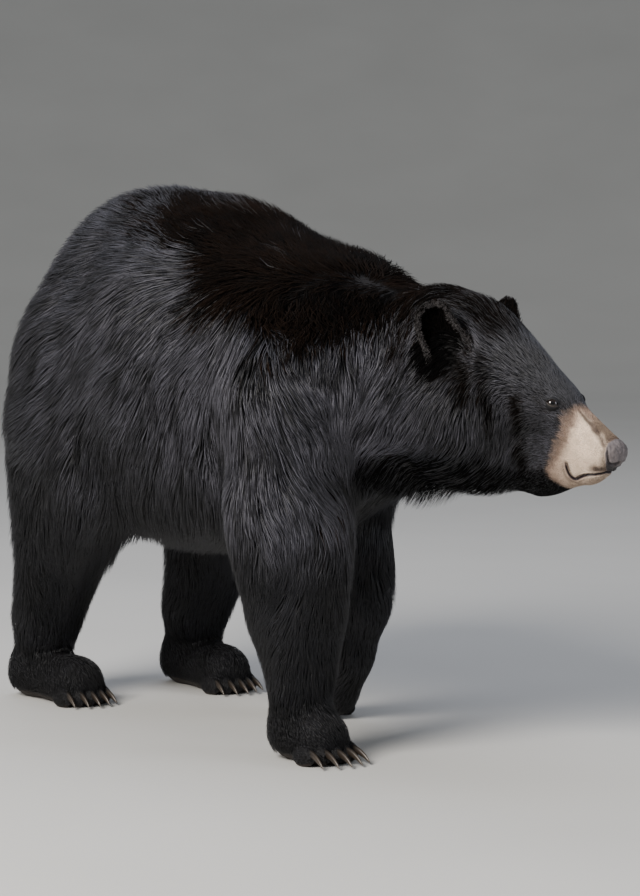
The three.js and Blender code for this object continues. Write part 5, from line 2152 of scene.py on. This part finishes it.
@dataclass
class EyePiece:
    """One eyeball with a slightly raised cornea."""

    form: Anatomy
    eye: Eye
    cornea: float = 0.05  # how far it is raised, as a share of the ball's radius

    def build(self, finish: Material) -> Object:
        """Makes the eyeball.

        Args:
            finish: The eye's material.

        Returns:
            The eyeball.
        """
        bm = bmesh.new()
        bmesh.ops.create_uvsphere(bm, u_segments=48, v_segments=32, radius=self.eye.radius)
        mesh = meshed(bm, "eye")
        q = points_of(mesh)
        turn = np.degrees(np.arccos(np.clip(q[:, 2] / self.eye.radius, -1, 1)))
        q = q * (1 + self.cornea * (1 - smooth(turn, 20, 46)))[:, None]
        put_shares(mesh, {"turn": turn})
        reshaped(mesh, self.form.to_body(self.eye.back(q)))
        bm = bmesh.new()
        bm.from_mesh(mesh)
        bmesh.ops.recalc_face_normals(bm, faces=bm.faces)
        bm.to_mesh(mesh)
        bm.free()
        name = "right" if self.eye.side < 0 else "left"
        return piece(f"eyeball_{name}", mesh, [finish], "eye", f"eye_{name}")


@dataclass
class Claws:
    """The five curved claws of one paw."""

    name: str
    paw: Paw
    radius: float = 7.0
    rings: int = 9
    sides: int = 12
    narrow: float = 0.58  # the breadth of a claw as a share of its depth
    buried: float = 0.4  # how much of its length again lies in the toe
    drop: float = 0.34  # how far the tip curves down, as a share of the length

    def build(self, finish: Material) -> Object:
        """Makes the claws, each bent from a cone.

        Args:
            finish: The horn.

        Returns:
            The claws of the paw, as one piece.
        """
        bm = bmesh.new()
        along = bm.verts.layers.float.new("along")
        for share, at in self.paw.toe_places():
            self.one(bm, at, share, along)
        bmesh.ops.recalc_face_normals(bm, faces=bm.faces)
        mesh = meshed(bm, "claws")
        reshaped(mesh, points_of(mesh))
        nodes = [f"claw_{self.name}_{n + 1}" for n in range(self.paw.toes)]
        return piece(f"claws_{self.name}", mesh, [finish], "claw_horn", *nodes)

    def one(self, bm: Modelled, at: Point, share: float, along: bmesh.types.BMLayerItem) -> None:
        """Adds one claw: a cone, cut into rings, bent down and narrowed.

        Args:
            bm: The mesh that it is added to.
            at: The middle of its toe.
            share: Where the toe lies across the foot, from -0.5 to 0.5.
            along: The layer that says how far along a point lies.
        """
        aim = (self.paw.aim[0], share * 0.18, self.paw.aim[2])
        root = np.array([at[0] + np.sign(aim[0]) * 20, at[1], at[2] + 6])
        side = unit(np.array([[-aim[1], aim[0], 0.0]]))[0]
        made = bmesh.ops.create_cone(bm, segments=self.sides, radius1=1.0, radius2=0.02, depth=1.0)["verts"]
        spokes = [e for v in made for e in v.link_edges if abs(e.verts[0].co.z - e.verts[1].co.z) > 0.5]
        bmesh.ops.subdivide_edges(bm, edges=list(set(spokes)), cuts=self.rings)
        drop = self.paw.claw * self.drop
        for v in [v for v in bm.verts if not v.tag]:
            t = v.co.z + 0.5
            reach = -self.buried + (1 + self.buried) * t
            angle = math.atan2(v.co.y, v.co.x)
            size = self.radius * math.sqrt(max(1 - t**1.6, 0.0004))
            fall = drop * (0.3 * reach - reach * reach)
            place = root + np.array(aim) * self.paw.claw * reach + [0, 0, fall]
            place = place + side * size * self.narrow * math.cos(angle)
            place = place + np.array([0, 0, 1.0]) * size * math.sin(angle)
            place[2] = max(place[2], 1.0)
            v.co = place
            v[along] = max(reach, 0.0)
            v.tag = True


# ---- stage
@dataclass
class Studio:
    """Floor, soft light and camera."""

    focal_px: float = 2960.0
    azimuth: float = 54.0
    away: float = 5.0
    across: float = 0.122
    eye_height: float = 0.85
    horizon_px: float = 220.0
    height_px: float = 896.0
    sensor: float = 36.0
    far: float = 200.0
    sweep: float = 9.0  # metres of flat floor, before it rises all round into a backdrop
    bend: float = 12.0
    reach: float = 30.0
    cells: int = 80
    lit_height: float = 0.5  # what the lamps face
    daylight: float = 0.42
    sky: str = "#dfe3e8"
    lamps: tuple[tuple[str, Point, float, float, str], ...] = (
        ("key", (1.4, -4.6, 3.6), 2.8, 560, "#fffaf4"),
        ("sky", (-1.6, 0.6, 5.2), 5.0, 110, "#e6ecff"),
        ("fill", (4.6, 3.2, 2.2), 3.0, 80, "#eef2ff"),
    )

    def camera(self) -> None:
        """Sets the camera at standing height, ahead of the right shoulder."""
        a = math.radians(self.azimuth)
        depth = Vector((-math.sin(a), math.cos(a), 0))
        right = Vector((math.cos(a), math.sin(a), 0))
        foot = -depth * self.away + right * self.across
        at = foot + Vector((0, 0, self.eye_height)) + Vector(SHIFT / MM)
        tilt = math.atan((self.height_px / 2 - self.horizon_px) / self.focal_px)
        look = depth * math.cos(tilt) - Vector((0, 0, math.sin(tilt)))
        data = bpy.data.cameras.new("camera")
        data.sensor_width, data.lens = self.sensor, self.focal_px / self.height_px * self.sensor
        data.clip_end = self.far
        made = shown("camera", data)
        made.matrix_world = facing(at, look)
        bpy.context.scene.camera = made

    def light(self, name: str, at: Point, size: float, power: float, colour: str) -> None:
        """Adds a large soft light that faces the animal.

        Args:
            name: The light's name.
            at: Where it hangs, in metres.
            size: Its breadth in metres.
            power: Its power in watts.
            colour: Its colour.
        """
        data = bpy.data.lights.new(name, "AREA")
        data.shape, data.size, data.energy = "DISK", size, power
        data.color = linear(colour)[:3]
        shown(name, data).matrix_world = facing(at, Vector((0, 0, self.lit_height)) - Vector(at))

    def build(self) -> None:
        """Makes the floor, the lights and the camera."""
        bm = bmesh.new()
        bmesh.ops.create_grid(bm, x_segments=self.cells, y_segments=self.cells, size=self.reach)
        for v in bm.verts:
            away = max(v.co.xy.length - self.sweep, 0.0)
            v.co.z = away * away / (away + self.bend)
        mesh = meshed(bm, "floor")
        mesh.materials.append(MattePaint().build())
        mesh.shade_smooth()
        floor = shown("floor", mesh)
        for lamp in self.lamps:
            self.light(*lamp)
        world = bpy.data.worlds.new("studio")
        bpy.context.scene.world = world
        world.use_nodes = True
        ground = world.node_tree.nodes["Background"]
        ground.inputs["Color"].default_value = linear(self.sky)
        ground.inputs["Strength"].default_value = self.daylight
        self.camera()


# ---- all of it
def main() -> None:
    """Builds the animal piece by piece, and the studio round it."""
    logging.basicConfig(level=logging.INFO, format="%(relativeCreated)7.0f ms %(name)s %(message)s")
    form = Anatomy()
    face = Face(form)
    hide = Hide().build()
    nose = NoseLeather("nose_leather").build()
    sole = NoseLeather("sole_leather", "#26211f", "#37302d", 0.62, 2.2).build()
    # The dull wool: the sun-bleached brown of the back, and a darker copy of the hair for painted shade in
    # hollows and under the throat.
    wool_and_shade = GuardHair(
        "bleached_wool_and_shade", "#030202", "#1c130d", brown="#0e0805",
        roughness=0.85, specular=0.06, sheen=0.0, shade=(0.15, 2.3),
    ).build()
    muzzle = GuardHair("muzzle_hair", roughness=0.6, specular=0.12, sheen=0.0, shade=(0.45, 1.3)).build()
    hairs = [GuardHair().build(), wool_and_shade, muzzle]
    skin = Skin(form, face).build([hide, nose, sole])
    Coat(form, face, Lie(form)).build(skin.data, hairs)
    for name in SIDES:
        Ear(form, name).build(hide, hairs)
    wet = WetEye().build()
    for eye in face.eyes:
        EyePiece(form, eye).build(wet)
    horn = ClawHorn().build()
    for name, paw in Anatomy.paws.items():
        Claws(name, paw).build(horn)
    Studio().build()


if __name__ == "__main__":
    main()
